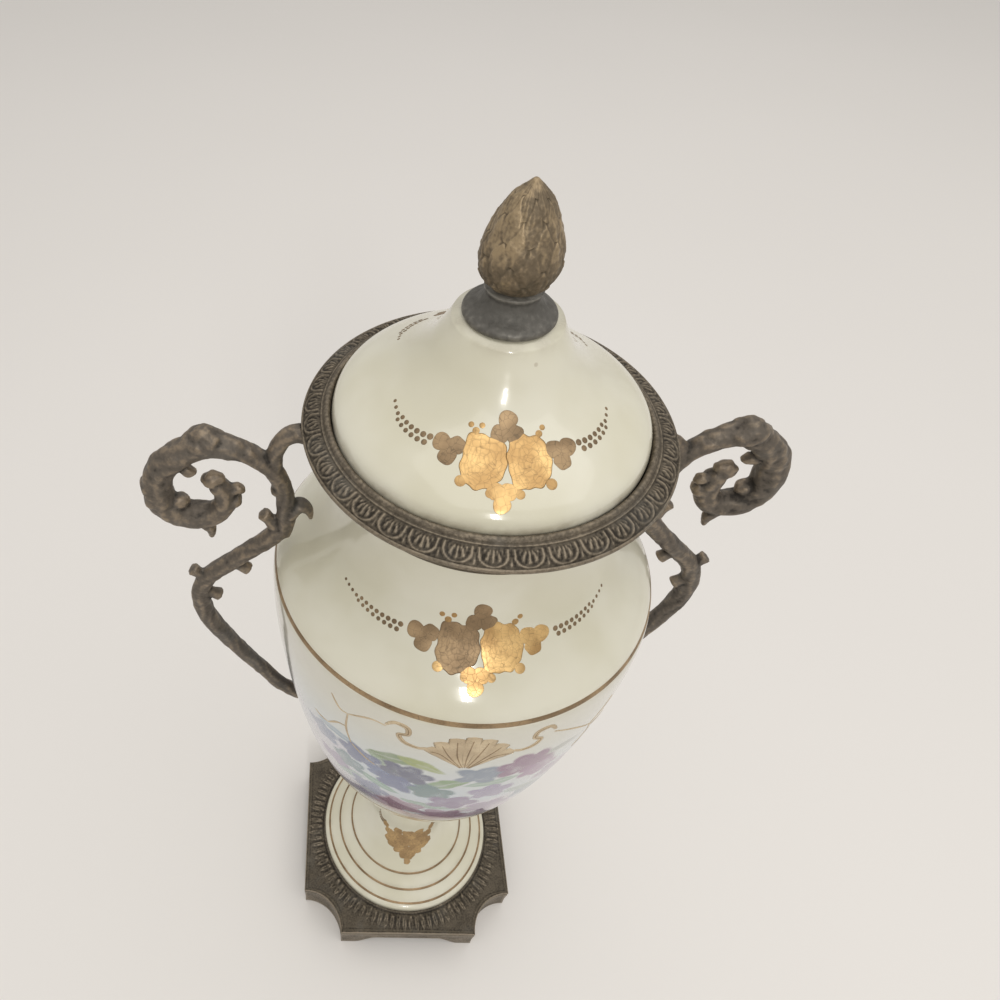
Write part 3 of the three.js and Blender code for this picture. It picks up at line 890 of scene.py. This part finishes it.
# %% Limbs and knobs
def limb(path, radii, flat=1.0, spacing=0.35, ridges=6, seed=0.0, blunt=False, gnarl=0.12):
    """A closed tube: circles of changing radius carried along a smooth path that lies in the
    XZ plane. The radius is ridged lengthwise by a cosine whose phase drifts, plus noise."""
    path = even(smooth(np.asarray(path, float)), spacing)
    share = distances(path) / distances(path)[-1]
    radius = np.interp(share, np.linspace(0, 1, len(radii)), radii)
    rounding = 0.35 if blunt else np.maximum(radius, 0.3)
    cap = np.minimum(1, np.minimum(share, 1 - share) * distances(path)[-1] / rounding)
    radius = radius * np.sqrt(np.clip(1 - (1 - cap) ** 2, 0.02, 1))
    along = np.gradient(path, axis=0)
    along /= np.linalg.norm(along, axis=1, keepdims=True)
    up = np.stack([-along[:, 1], np.zeros(len(path)), along[:, 0]], axis=1)
    across = np.array([0.0, 1.0, 0.0])
    angle = np.radians(np.arange(0, 360, 7.5))[:, None]
    run = distances(path)[None, :]
    bark = 0.04 * np.cos(ridges * angle + 0.22 * run + 2.2 * np.sin(0.31 * run + seed))
    spine = np.stack([path[:, 0], np.zeros(len(path)), path[:, 1]], axis=1)
    ring = np.cos(angle)[..., None] * up + np.sin(angle)[..., None] * across * flat
    rough = mottle(spine[None] + ring * 2.5 + seed * 9, 2.2, 3)
    size = radius[None, :] * (1 + bark + gnarl * rough)
    return closed_grid((spine[None] + ring * size[..., None])[:, ::-1])


def knob(centre, radius, seed=0.0):
    """A lumpy ball: a sphere whose radius swells with noise."""
    angle = np.radians(np.arange(0, 360, 12))[:, None]
    tilt = np.radians(np.linspace(-84, 84, 15))[None, :]
    way = np.stack([np.cos(tilt) * np.cos(angle), np.cos(tilt) * np.sin(angle),
                    np.sin(tilt) + 0 * angle], axis=-1)
    lump = 1 + 0.4 * mottle(way * 3 + seed * 7, 2.4)
    squat = np.array([1.15, 0.9, 0.85])
    return closed_grid(np.array([centre[0], 0, centre[1]]) + way * squat * (radius * lump)[..., None])


print("points of a trial limb:", len(limb([[0, 0], [9, 4], [20, 5]], [2, 3, 2])[0]))

# %% Parts of a branch
root_reach = 52.0
branch_turn = 3.0


def heel(height):
    """A place just outside the belly at that height."""
    return [float(body_skin.radius(body_skin.at_height(height))) + 0.9, height]


def branch_parts(reach, sag, drop):
    """Limbs and knobs in the XZ plane. Beyond the root each place is drawn out by reach and
    let down by sag, in step with its distance, and drop lowers the end that meets the collar."""
    def bend(points):
        """The points moved by reach and sag."""
        points = np.array(points, float).reshape(-1, 2)
        out = np.maximum(points[:, 0] - root_reach, 0)
        return np.stack([np.minimum(points[:, 0], root_reach) + reach * out,
                         points[:, 1] - sag * out / 36], axis=1)

    stem = [[52.5, 281], [50.4, 289], [50.2, 298], [51.8, 306], [55.4, 312], [61.5, 316.6], [68, 318.6],
            [75, 316.4], [80.8, 311.4], [83.2, 304], [82.2, 297.2], [77.2, 293], [70.8, 292.4],
            [66.8, 295.6], [66.2, 301], [69, 305]]
    arm = [[50.8, 286], [56.5, 279.4], [66, 271.4], [75, 263.4], [78.6, 255], [78.4, 243], [74, 229],
           [68, 214.5], [62, 201.5], [57.4, 191.5], heel(182)]
    root = [[42.6, 320.4 - drop], [46, 321 - drop], [49.4, 319.2 - drop], [51.8, 314.4 - drop / 2],
            [52.6, 308]]
    spur = [[50, 290], [46.6, 294], [44.2, 292], [43.6, 288]]
    thorn = [[74, 291], [71.6, 286.5], [71.8, 282]]
    belly_leaf = [heel(181), heel(192), heel(204), heel(213.5)]
    parts = [
        limb(bend(stem), [2.7, 2.7, 2.5, 2.6, 3.1, 3.6, 3.9, 4.2, 3.9, 3.2, 2.6], seed=1.0),
        limb(bend(arm), [2.9, 2.7, 2.7, 3, 2.9, 2.7, 2.5, 2.5, 2.7], seed=2.0, gnarl=0.09),
        limb(bend(root), [2.9, 2.3, 2.2, 2.2, 2.4], seed=3.0, blunt=True),
        limb(bend(spur), [2.3, 2, 1.4, 0.5], 1.4, seed=4.0),
        limb(bend(thorn), [2.4, 1.8, 0.6], seed=5.0),
        limb(belly_leaf, [0.8, 1.0, 0.9, 0.4], 2.2, seed=6.0),
    ]
    cuts = [[[53.5, 286], [56.6, 291.4]], [[68, 271], [62.6, 265.6]], [[76, 263], [79.7, 267.4]],
            [[78, 257], [72.6, 252.6]]]
    parts += [limb(bend(cut), [2.3, 1.7, 2.0], spacing=0.3, seed=7.0 + k, blunt=True)
              for k, cut in enumerate(cuts)]
    lumps = [([69, 319.4], 4.7), ([65, 298.2], 3.0), ([68.4, 305.8], 2.7), ([73, 317.6], 2.9),
             ([84, 306], 3.0), ([79.5, 312.6], 3.2), ([71.6, 291.6], 2.9), ([82.4, 297.4], 3.4),
             ([51.4, 301], 2.4), ([78.4, 298.6], 2.6), ([74.6, 309.8], 2.0), ([62.8, 301.6], 2.0),
             ([76.8, 291.6], 2.9)]
    return parts + [knob(bend(place)[0], radius, k) for k, (place, radius) in enumerate(lumps)]


print("parts of a branch:", len(branch_parts(1.0, 0.0, 0.0)))

# %% Melt, swing and finish a handle
melt_size = 0.00047
skin_gap = 0.12
neck_height = 311


def apply_modifiers(piece):
    """Replaces a piece's mesh with the result of its modifiers."""
    graph = bpy.context.evaluated_depsgraph_get()
    made = bpy.data.meshes.new_from_object(piece.evaluated_get(graph))
    piece.modifiers.clear()
    old, piece.data = piece.data, made
    bpy.data.meshes.remove(old)
    made.shade_smooth()


def clear_of_the_urn(xyz):
    """Pushes points, in metres, straight out from the axis until they are a hair outside the
    vessel's wall or, higher up, the underside of the collar."""
    reach_now = np.hypot(xyz[:, 0], xyz[:, 1])
    height = xyz[:, 2] / MM
    shell = np.interp(height, body_outside[:, 1], body_outside[:, 0]) + skin_gap
    ring = np.interp(height, collar_under[:, 1], collar_under[:, 0]) + skin_gap
    clear = np.maximum(reach_now, np.where(height < neck_height, shell, ring) * MM)
    xyz[:, :2] *= (clear / reach_now)[:, None]
    return xyz


def make_handle(name, node, turn, reach, sag, drop=0.0):
    """A branch melted into one skin, swung about the urn's axis by turn degrees, held clear of
    the urn and kept inside the box of its node."""
    piece = mesh_piece(name, branch_parts(reach, sag, drop))
    melt = piece.modifiers.new("melt", "REMESH")
    melt.mode = "VOXEL"
    melt.voxel_size = melt_size
    melt.use_smooth_shade = True
    apply_modifiers(piece)
    xyz = np.empty(len(piece.data.vertices) * 3, np.float32)
    piece.data.vertices.foreach_get("co", xyz)
    xyz = xyz.reshape(-1, 3).astype(float)
    a = np.radians(turn)
    swing = np.array([[np.cos(a), np.sin(a)], [-np.sin(a), np.cos(a)]])
    xyz[:, :2] = xyz[:, :2] @ swing
    box = np.array(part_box(node))
    xyz = np.clip(clear_of_the_urn(xyz), box[0], box[1])
    piece.data.vertices.foreach_set("co", xyz.astype(np.float32).ravel())
    piece.data.update()
    add_wear(piece, 4, 0.75, 0.22 * mottle(xyz / MM, 11) - 0.03)
    return settle(piece, bark_bronze, node)


make_handle("branch_handle_right", "handle_right", branch_turn, reach=0.88, sag=3.5, drop=5.0)
make_handle("branch_handle_left", "handle_left", branch_turn + 180, reach=1.0, sag=1.5)

# %% [markdown]
# ## Finial
# A dark turned spool carries a bud of overlapping scales. Scales could be separate petals, but
# the real bud is one worn casting whose scales are barely raised, so they are relief too: two
# sets of rows, half a scale out of step, and the higher of the two shows.

# %% Spool
spool_knots = [[9.4, 354.5], [9.9, 354.8], [10.1, 355.4], [9.9, 356.1], [9.2, 356.6], [7.6, 357.4],
               [6.3, 358.8], [5.9, 360.2], [6.2, 361.2], [6.2, 361.7]]
spool = mesh_piece("finial_spool", [closed_grid(turned(
    fit(even(smooth(spool_knots, 10), 0.2), "finial_base"), np.arange(0, 360, 3)))])
add_wear(spool, 2, 0.6)
settle(spool, dark_metal, "finial_base")

# %% Bud
def scales(turn, level):
    """Height of the scales, 0 to 1: each set of rows has scales one row apart and two rows
    tall. A scale is widest low down, comes to a blunt point, and stands highest along its
    middle. Where two sets overlap the higher one shows."""
    sets = []
    for shift in (0, 1):
        row = np.floor((level - shift) / 2)
        v = (level - shift) / 2 - row
        x = ((turn + 0.5 * shift) % 1) * 2 - 1
        width = np.clip(1 - v**2.2, 0, 1) ** 0.7 * 1.02
        inside = np.clip(width - np.abs(x), 0, 1)
        rise = step(0.0, 0.3, inside) * (0.35 + 0.65 * v) + 0.12 * hill(x, 0.16)
        sets.append(rise * step(0.0, 0.05, inside))
    return np.maximum(sets[0], sets[1])


bud_path = even(smooth([[5.2, 362], [8, 363.9], [9.2, 367.4], [8.8, 371.4], [7.2, 375.8], [4.7, 380.3],
                        [1.4, 383.2], [0.5, 383.9]], 16), 0.12)
bud_path = fit(bud_path, "finial_cone")
bud_columns = np.arange(0, 360, 1.5)
scales_round, scale_rows, flute_count = 8, 5.6, 40
bud_bottom, bud_height = 362, 22
bud_level = (bud_path[None, :, 1] - bud_bottom) / bud_height * scale_rows
bud_grid = turned(bud_path, bud_columns)
waver = mottle(bud_grid, 3.5)
scale_turn = bud_columns[:, None] * scales_round / 360 + 0.12 * waver
proud = scales(scale_turn, bud_level + 0.35 * mottle(bud_grid + 30, 3.5))
worn = mottle(bud_grid, 2.2)
flutes = np.cos(np.radians(bud_columns)[:, None] * flute_count + 2 * bud_level + 3 * waver)
inward_by = (1 - proud) * 0.4 + 0.015 * (1 - flutes) + 0.4 * (1 - worn)
keep = 1 - inward_by / np.maximum(bud_path[None, :, 0], 4) * step(361.9, 363.5, bud_path[None, :, 1])
bud_grid[..., :2] *= keep[..., None]
bud = mesh_piece("finial_bud", [closed_grid(bud_grid)])
rubbed_bud = 0.16 * proud - 0.2 + 0.26 * step(0.6, 3.4, bud_level) + 0.4 * mottle(bud_grid + 60, 3)
add_wear(bud, 3, 0.32, np.concatenate([rubbed_bud.ravel(), [0, 0]]))
settle(bud, worn_bronze, "finial_cone")

# %% [markdown]
# ## Gilded sprays
# Each spray is a pair of cabbage roses with three-lobed leaves round them and two garlands of
# dots that thin out to the sides. They are foil, so each is a very thin closed pad laid on the
# glaze. Drawing them flat and laying them on a Skin keeps the roses round on the curved wall.

# %% Pads and roses of foil
foil_sunk = -0.03


def pad(skin, degrees, s, width, height, rings=5, points=28, thick=0.045, lobes=0, swell=0.0,
        turn=0.0, rose=False, groove=0.0):
    """A thin closed pad: circles growing from a middle to a rim on top and shrinking again
    underneath, the rim swelling with a cosine. A rose is squarer and has furled petals pressed
    into it. The second result is how dark each point is, 0 to 1."""
    angle = np.radians(np.linspace(0, 360, points, endpoint=False))[:, None]
    out = np.concatenate([np.linspace(0.04, 0.96, rings), [1, 0.97, 0.1]])[::-1][None, :]
    on_top = np.concatenate([np.ones(rings + 1), [0, 0]])[::-1][None, :]
    edge = 1 + swell * np.cos(lobes * (angle + turn))
    if rose:
        edge = edge * (np.cos(angle) ** 4 + np.sin(angle) ** 4) ** -0.13
        edge = edge + 0.05 * np.sin(3 * angle + 1 + turn) + 0.03 * np.cos(11 * angle)
    a = width / 2 * out * edge * np.cos(angle)
    b = height / 2 * out * edge * np.sin(angle)
    lines = furl(out, angle + turn) * on_top if rose else np.zeros_like(a)
    lift = np.where(on_top > 0, thick * (1 - out**4) + 0.012 - 0.03 * lines, foil_sunk)
    where = degrees + np.degrees(a / skin.radius(s + b))
    rim_dark = 0.12 * step(0.9, 1.0, out) * on_top
    return skin.lay(where, s + b, lift), np.clip(lines + rim_dark + groove, 0, 1)


def furl(out, angle):
    """Dark lines between furled petals: rings whose radius wavers with the angle, broken by
    short spokes that are half a petal out of step from ring to ring."""
    dark = 0
    for radius, petals, phase in ((0.24, 3, 0.4), (0.48, 5, 1.1), (0.74, 6, 0.2)):
        ring = radius + 0.05 * np.abs(np.cos(petals * angle / 2 + phase))
        dark = dark + hill(out - ring, 0.028)
        spoke = hill(np.sin(petals * (angle + phase) / 2) * radius, 0.09)
        within = step(radius - 0.2, radius - 0.12, out) * (1 - step(radius, radius + 0.05, out))
        dark = dark + spoke * within
    return np.clip(dark, 0, 1) * 0.3


print("points of a plain pad:", pad(body_skin, 0, 100, 2, 2)[0].shape)

# %% Lines and hoops of foil
def stroke(skin, path, widths, thick=0.08, spacing=0.4):
    """A thin closed line of foil: flat ellipses carried along a path of (degrees, s), their
    width interpolated along it and drawn to nothing at both ends."""
    path = np.array(path, float)
    middle = path[:, 1].mean()
    flat = np.stack([np.radians(path[:, 0]) * skin.radius(middle), path[:, 1]], axis=1)
    flat = even(smooth(flat), spacing)
    run = distances(flat)
    width = np.interp(run / run[-1], np.linspace(0, 1, len(widths)), widths)
    ends = np.sqrt(np.clip(np.minimum(run, run[-1] - run) / 0.5, 0.02, 1))
    along = np.gradient(flat, axis=0)
    along /= np.linalg.norm(along, axis=1, keepdims=True)
    across = np.stack([-along[:, 1], along[:, 0]], axis=1)
    angle = np.radians(np.arange(0, 360, 45))[:, None]
    side = np.cos(angle) * width * ends / 2
    spot = flat[None] + across[None] * side[..., None]
    where = np.degrees(spot[..., 0] / skin.radius(middle))
    grid = skin.lay(where, spot[..., 1], np.sin(angle) * thick * ends)
    return grid, np.full(grid.shape[:2], 0.12)


class Foil:
    """A set of pads and lines that is fired as one piece."""

    def __init__(self):
        self.parts, self.shades = [], []

    def add(self, made, poles=True):
        """Takes in one grid with its darkness; the poles get the mean of the rows beside them."""
        grid, shade = made
        self.parts.append(closed_grid(grid, poles))
        self.shades.append(shade.ravel())
        if poles:
            self.shades.append(np.array([shade[:, 0].mean(), shade[:, -1].mean()]))

    def fire(self, name, material):
        """Makes everything that was added into one named piece."""
        piece = mesh_piece(name, self.parts, {"groove": np.concatenate(self.shades)})
        return settle(piece, material)


def hoop(skin, s, width, thick=0.07):
    """A band of foil right round the piece: a flat ellipse turned through a full circle."""
    angle = np.radians(np.arange(0, 360, 30))[None, ::-1]
    grid = skin.lay(full_turn[:, None], s + np.cos(angle) * width / 2, np.sin(angle) * thick)
    return grid, np.full(grid.shape[:2], 0.15)


print("foil tools ready")

# %% Roses and garlands
def trefoil(foil, skin, degrees, s, size, toward):
    """Three overlapping lobes, one pointing the way given in degrees and two behind it."""
    for k, spread in enumerate((0, 125, -125)):
        way = np.radians(toward + spread)
        reach = size * (0.56 if k == 0 else 0.5)
        a, b = reach * np.cos(way), reach * np.sin(way)
        where = degrees + np.degrees(a / skin.radius(s))
        foil.add(pad(skin, where, s + b, size * 1.14, size * 1.14, lobes=3 + k, swell=0.05, turn=k,
                     groove=0.05 * k))


def garland(foil, skin, start, end, s, drop, count=9):
    """Dots in pairs that shrink and end singly, along a slightly sagging line."""
    for k in range(count):
        t = k / (count - 1)
        degrees = start + (end - start) * t
        size = 1.45 - 0.6 * t
        sag = s - drop * t * (1 - t) * 4 + drop * 1.6 * t
        gap = 0.72 * (1 - 0.6 * t) + 0.1
        if t > 0.72:
            foil.add(pad(skin, degrees, sag, size, size, 3, 14, groove=0.45))
        else:
            shift = np.degrees(0.5 / skin.radius(s)) * np.sign(end - start)
            foil.add(pad(skin, degrees, sag + gap, size, size, 3, 14, groove=0.4))
            foil.add(pad(skin, degrees + shift, sag - gap, size * 0.92, size * 0.92, 3, 14, groove=0.45))


def spray(name, skin, turn, s, scale, ends, brown_and_shaded_first=False, plain=False, sag=0.0):
    """Two roses side by side, leaves above, below and at each side, small berries between them
    and two garlands. Places and sizes are mm from the middle, before the scale."""
    def deg(mm):
        """Degrees round the piece for a place so many scaled mm to the right of the middle."""
        return turn + np.degrees(mm * scale / skin.radius(s))

    # The dull, brown copy of the gold is partly worn gilding and partly painted shade: on a spray that
    # starts brown, the left rose and left leaf take it as shade on the left side.
    bright, dull_and_shaded = Foil(), Foil()
    first = dull_and_shaded if brown_and_shaded_first else bright
    right_side = dull_and_shaded if plain else bright
    left_side = dull_and_shaded if brown_and_shaded_first else right_side
    petals_fine = {"rings": 26, "points": 108, "thick": 0.08, "swell": 0.04, "rose": True}
    wide, tall = 9.2 * scale, 11.3 * scale
    first.add(pad(skin, deg(-4.65), s, wide, tall, lobes=5, turn=0.3, **petals_fine))
    bright.add(pad(skin, deg(4.65), s + 0.2, wide * 0.98, tall, lobes=6, turn=1.2, **petals_fine))
    for foil, x, y, size, toward in ((dull_and_shaded, 0.1, 7.0, 3.4, 90), (left_side, -12.3, 0.9, 3.4, 160),
                                     (right_side, 12.1, 0.9, 3.4, 20), (bright, -0.6, -6.6, 3.2, -90)):
        trefoil(foil, skin, deg(x), s + y * scale, size * scale, toward)
    for x, y, size in ((-7.9, -4.8, 2.4), (8.1, -4.8, 2.4), (-7.6, 5.9, 1.5), (-9.2, 6.9, 1.2),
                       (-6.4, 7.2, 1.2), (8.0, 5.7, 1.5), (9.2, 6.8, 1.2), (-2.6, -6.2, 2.0),
                       (2.4, -6.2, 2.0)):
        bright.add(pad(skin, deg(x), s + y * scale, size * scale, size * scale, 3, 18, groove=0.3))
    for way in (-1, 1):
        garland(dull_and_shaded, skin, turn + way * ends[0], turn + way * ends[1], s + 0.6, sag, ends[2])
    bright.fire(name + "_bright", gold_bright)
    dull_and_shaded.fire(name + "_dull", gold_brown)


lid_rose = lid_skin.at_radius(27.0, 328, 350)
shoulder_rose = body_skin.at_radius(40.6, 273, 300)
foot_rose = foot_skin.at_radius(17.8, 36, 70)
print("roses sit at", [round(float(s), 1) for s in (lid_rose, shoulder_rose, foot_rose)])

# %% Sprays on the lid and the shoulder
spray("lid_spray_front", lid_skin, -2.2, lid_rose, 1.03, (37, 66, 9), plain=True, sag=1.0)
spray("lid_spray_back", lid_skin, 178, lid_rose, 0.92, (37, 62, 9), plain=True, sag=1.0)
spray("shoulder_spray_front", body_skin, -0.9, shoulder_rose, 1.17, (29, 57, 12),
      brown_and_shaded_first=True, sag=0.6)
spray("shoulder_spray_back", body_skin, 179, shoulder_rose, 0.92, (25, 52, 12),
      brown_and_shaded_first=True, plain=True, sag=0.6)

# %% [markdown]
# ## Gilded lines
# Plain lines of gold mark the shoulder, the bottom of the painting and each step of the foot.
# Below the shoulder a gilded shell with ribs spreads over the flowers, between two scrolls and
# long thin lines that frame the painting. The foot has a small spray of its own, in gold that
# has aged to brown.

# %% Bands round the belly and the foot
bands = Foil()
bands.add(hoop(body_skin, body_skin.at_height(shoulder_line), 1.7), poles=False)
bands.add(hoop(body_skin, body_skin.at_height(lower_line), 1.2), poles=False)
bands.fire("gilded_bands", gold_brown)
foot_bands = Foil()
for radius, low, high in ((40.5, 24, 27), (34.9, 28, 32), (28.6, 33, 36)):
    foot_bands.add(hoop(foot_skin, foot_skin.at_radius(radius, low, high), 1.15), poles=False)
foot_bands.fire("foot_bands", gold_brown)

# %% Shell, scrolls and framing lines
def on_belly(*places):
    """(degrees, height) pairs as (degrees, distance along the profile)."""
    return [(degrees, float(body_skin.at_height(height))) for degrees, height in places]


scrolls, ribs = Foil(), Foil()
shell_middle = -0.8
for turn, height, bow in ((-12.4, 257.5, -1), (-9.2, 262.5, -0.7), (-5.1, 265.6, -0.4),
                          (-0.6, 266.8, 0), (3.9, 265.6, 0.4), (8, 262.5, 0.7), (11.2, 257.5, 1)):
    start, waist = shell_middle + turn * 0.1, (shell_middle + turn * 0.5 + bow, 254.5)
    lobe = on_belly((start, 247), waist, (turn, height))
    scrolls.add(stroke(body_skin, lobe, [0.5, 2.0, 3.5, 4.8, 4.2], 0.06))
    rib = on_belly((start, 246.5), waist, (turn * 0.93, height - 2))
    ribs.add(stroke(body_skin, rib, [0.3, 0.5, 0.35], 0.12))
curls = [
    [(-24.5, 263), (-22, 266), (-18.5, 265.4), (-18, 262), (-20.4, 260.4), (-18.6, 257), (-14.5, 256),
     (-12, 257.4)],
    [(22.5, 263.5), (20.4, 266.4), (17, 265.6), (16.4, 262.4), (18.4, 260.6), (16.8, 257.4), (13.4, 256.4),
     (11, 257.4)],
]
for line in curls:
    scrolls.add(stroke(body_skin, on_belly(*line), [0.9, 2.0, 1.5, 2.0, 1.3]))
    ribs.add(stroke(body_skin, on_belly(*line[1:-1]), [0.25, 0.4, 0.25], 0.12))
framing = [
    [(-24, 262.4), (-29, 262), (-36, 257)], [(-36, 257), (-36.6, 247), (-35, 238)],
    [(-35, 238), (-30.5, 233.5), (-26.5, 231)], [(-50, 240), (-47.5, 239), (-44, 240)],
    [(22, 262.5), (30, 257), (39, 249)], [(39, 249), (41, 241), (38, 233)],
    [(-44, 240), (-40, 246), (-36.6, 248)], [(39, 248), (45, 244), (50, 243)],
    [(-42, 262), (-39, 257), (-36, 257)], [(39, 249), (43, 253), (46, 258)],
]
for k, line in enumerate(framing):
    scrolls.add(stroke(body_skin, on_belly(*line), [0.5, 0.9, 0.5], 0.07 + 0.003 * k))
scrolls.fire("belly_scrolls", gold_pale)
ribs.fire("belly_scroll_lines", gold_brown)

# %% Spray on the foot
petite, trail = Foil(), Foil()
foot_turn = -1.5
petals = ((-4.3, 0.4, 9.6), (4.3, 0.6, 9.6), (0, -5.4, 7.0), (0, 5.2, 5.4), (-8.6, 3.2, 3.6),
          (8.6, 3.2, 3.6), (0, -9.8, 2.6), (-4.4, -4.8, 2.8), (4.4, -4.8, 2.8), (-8.4, -0.6, 3.4),
          (8.4, -0.6, 3.4), (-10.6, 5.4, 3.0), (10.6, 5.4, 3.0), (-4.6, 6.4, 3.6), (4.6, 6.4, 3.6))
for x, y, size in petals:
    where = foot_turn + np.degrees(x * 1.22 / foot_skin.radius(foot_rose + y))
    petite.add(pad(foot_skin, where, foot_rose + y * 1.16, size * 1.24, size * 1.14, rings=12,
                   points=60, thick=0.1, lobes=5, swell=0.06, turn=x, rose=True))
petite.fire("foot_spray", gold_aged)
for way in (-1, 1):
    garland(trail, foot_skin, foot_turn + way * 50, foot_turn + way * 80, foot_rose + 7, 2.4)
trail.fire("foot_garlands", gold_brown)

# %% [markdown]
# ## Table, light and camera
# The urn stands on a pale surface in soft daylight. A large overhead panel gives the even light,
# a smaller bright one in front stands for the window that shows in the glaze, and a pale world
# fills the shadows. The camera looks steeply down from close above the rim with a wide lens.

# %% Stage and lights
def panel(name, location_mm, aim_mm, size_mm, power, colour=(1, 1, 1)):
    """An area light that faces a point."""
    light = bpy.data.lights.new(name, "AREA")
    light.shape = "RECTANGLE"
    light.size, light.size_y = size_mm[0] * MM, size_mm[1] * MM
    light.energy = power
    light.color = colour
    lamp = bpy.data.objects.new(name, light)
    lamp.location = Vector(location_mm) * MM
    lamp.rotation_mode = "QUATERNION"
    lamp.rotation_quaternion = (Vector(aim_mm) - Vector(location_mm)).to_track_quat("-Z", "Y")
    bpy.context.scene.collection.objects.link(lamp)
    return lamp


floor_size = 4000
floor_points = np.array([[-1, -1, 0], [1, -1, 0], [1, 1, 0], [-1, 1, 0]], float) * floor_size
floor = mesh_piece("pale_table", [(floor_points, np.array([[0, 1, 2, 3]]), np.zeros((0, 3), int))])
table_top = Finish("pale_table_top", Roughness=0.75)
table_tone = table_top.mix(table_top.noise(400, 2.0), (0.80, 0.775, 0.745), (0.83, 0.805, 0.775))
floor.data.materials.append(table_top.feed(Base_Color=table_tone))

panel("overhead", (250, 50, 1700), (50, 0, 100), (2400, 2400), 16.5, (1, 0.98, 0.955))
panel("window", (60, -900, 900), (0, 0, 250), (90, 300), 2.2, (1, 0.985, 0.96))
world = bpy.data.worlds.new("soft_room")
world.use_nodes = True
backdrop = world.node_tree.nodes["Background"]
backdrop.inputs["Color"].default_value = (1.0, 0.975, 0.94, 1)
backdrop.inputs["Strength"].default_value = 0.54
bpy.context.scene.world = world
bpy.context.scene.view_settings.view_transform = "Standard"

# %% Camera
camera_data = bpy.data.cameras.new("above_the_rim")
camera_data.lens = 27
camera_data.sensor_width = 36
camera_data.shift_x = 0.159
camera = bpy.data.objects.new("above_the_rim", camera_data)
camera.location = Vector((-33.9, -133.4, 449.1)) * MM
camera.rotation_mode = "QUATERNION"
bearing, dip, roll = math.radians(-0.59), math.radians(-49.4), math.radians(0.25)
look = Vector((math.sin(bearing) * math.cos(dip), math.cos(bearing) * math.cos(dip), math.sin(dip)))
camera.rotation_quaternion = look.to_track_quat("-Z", "Y") @ Quaternion((0, 0, 1), roll)
camera_data.clip_start, camera_data.clip_end = 0.01, 20
bpy.context.scene.collection.objects.link(camera)
bpy.context.scene.camera = camera
print("camera looks along", tuple(round(v, 3) for v in look))
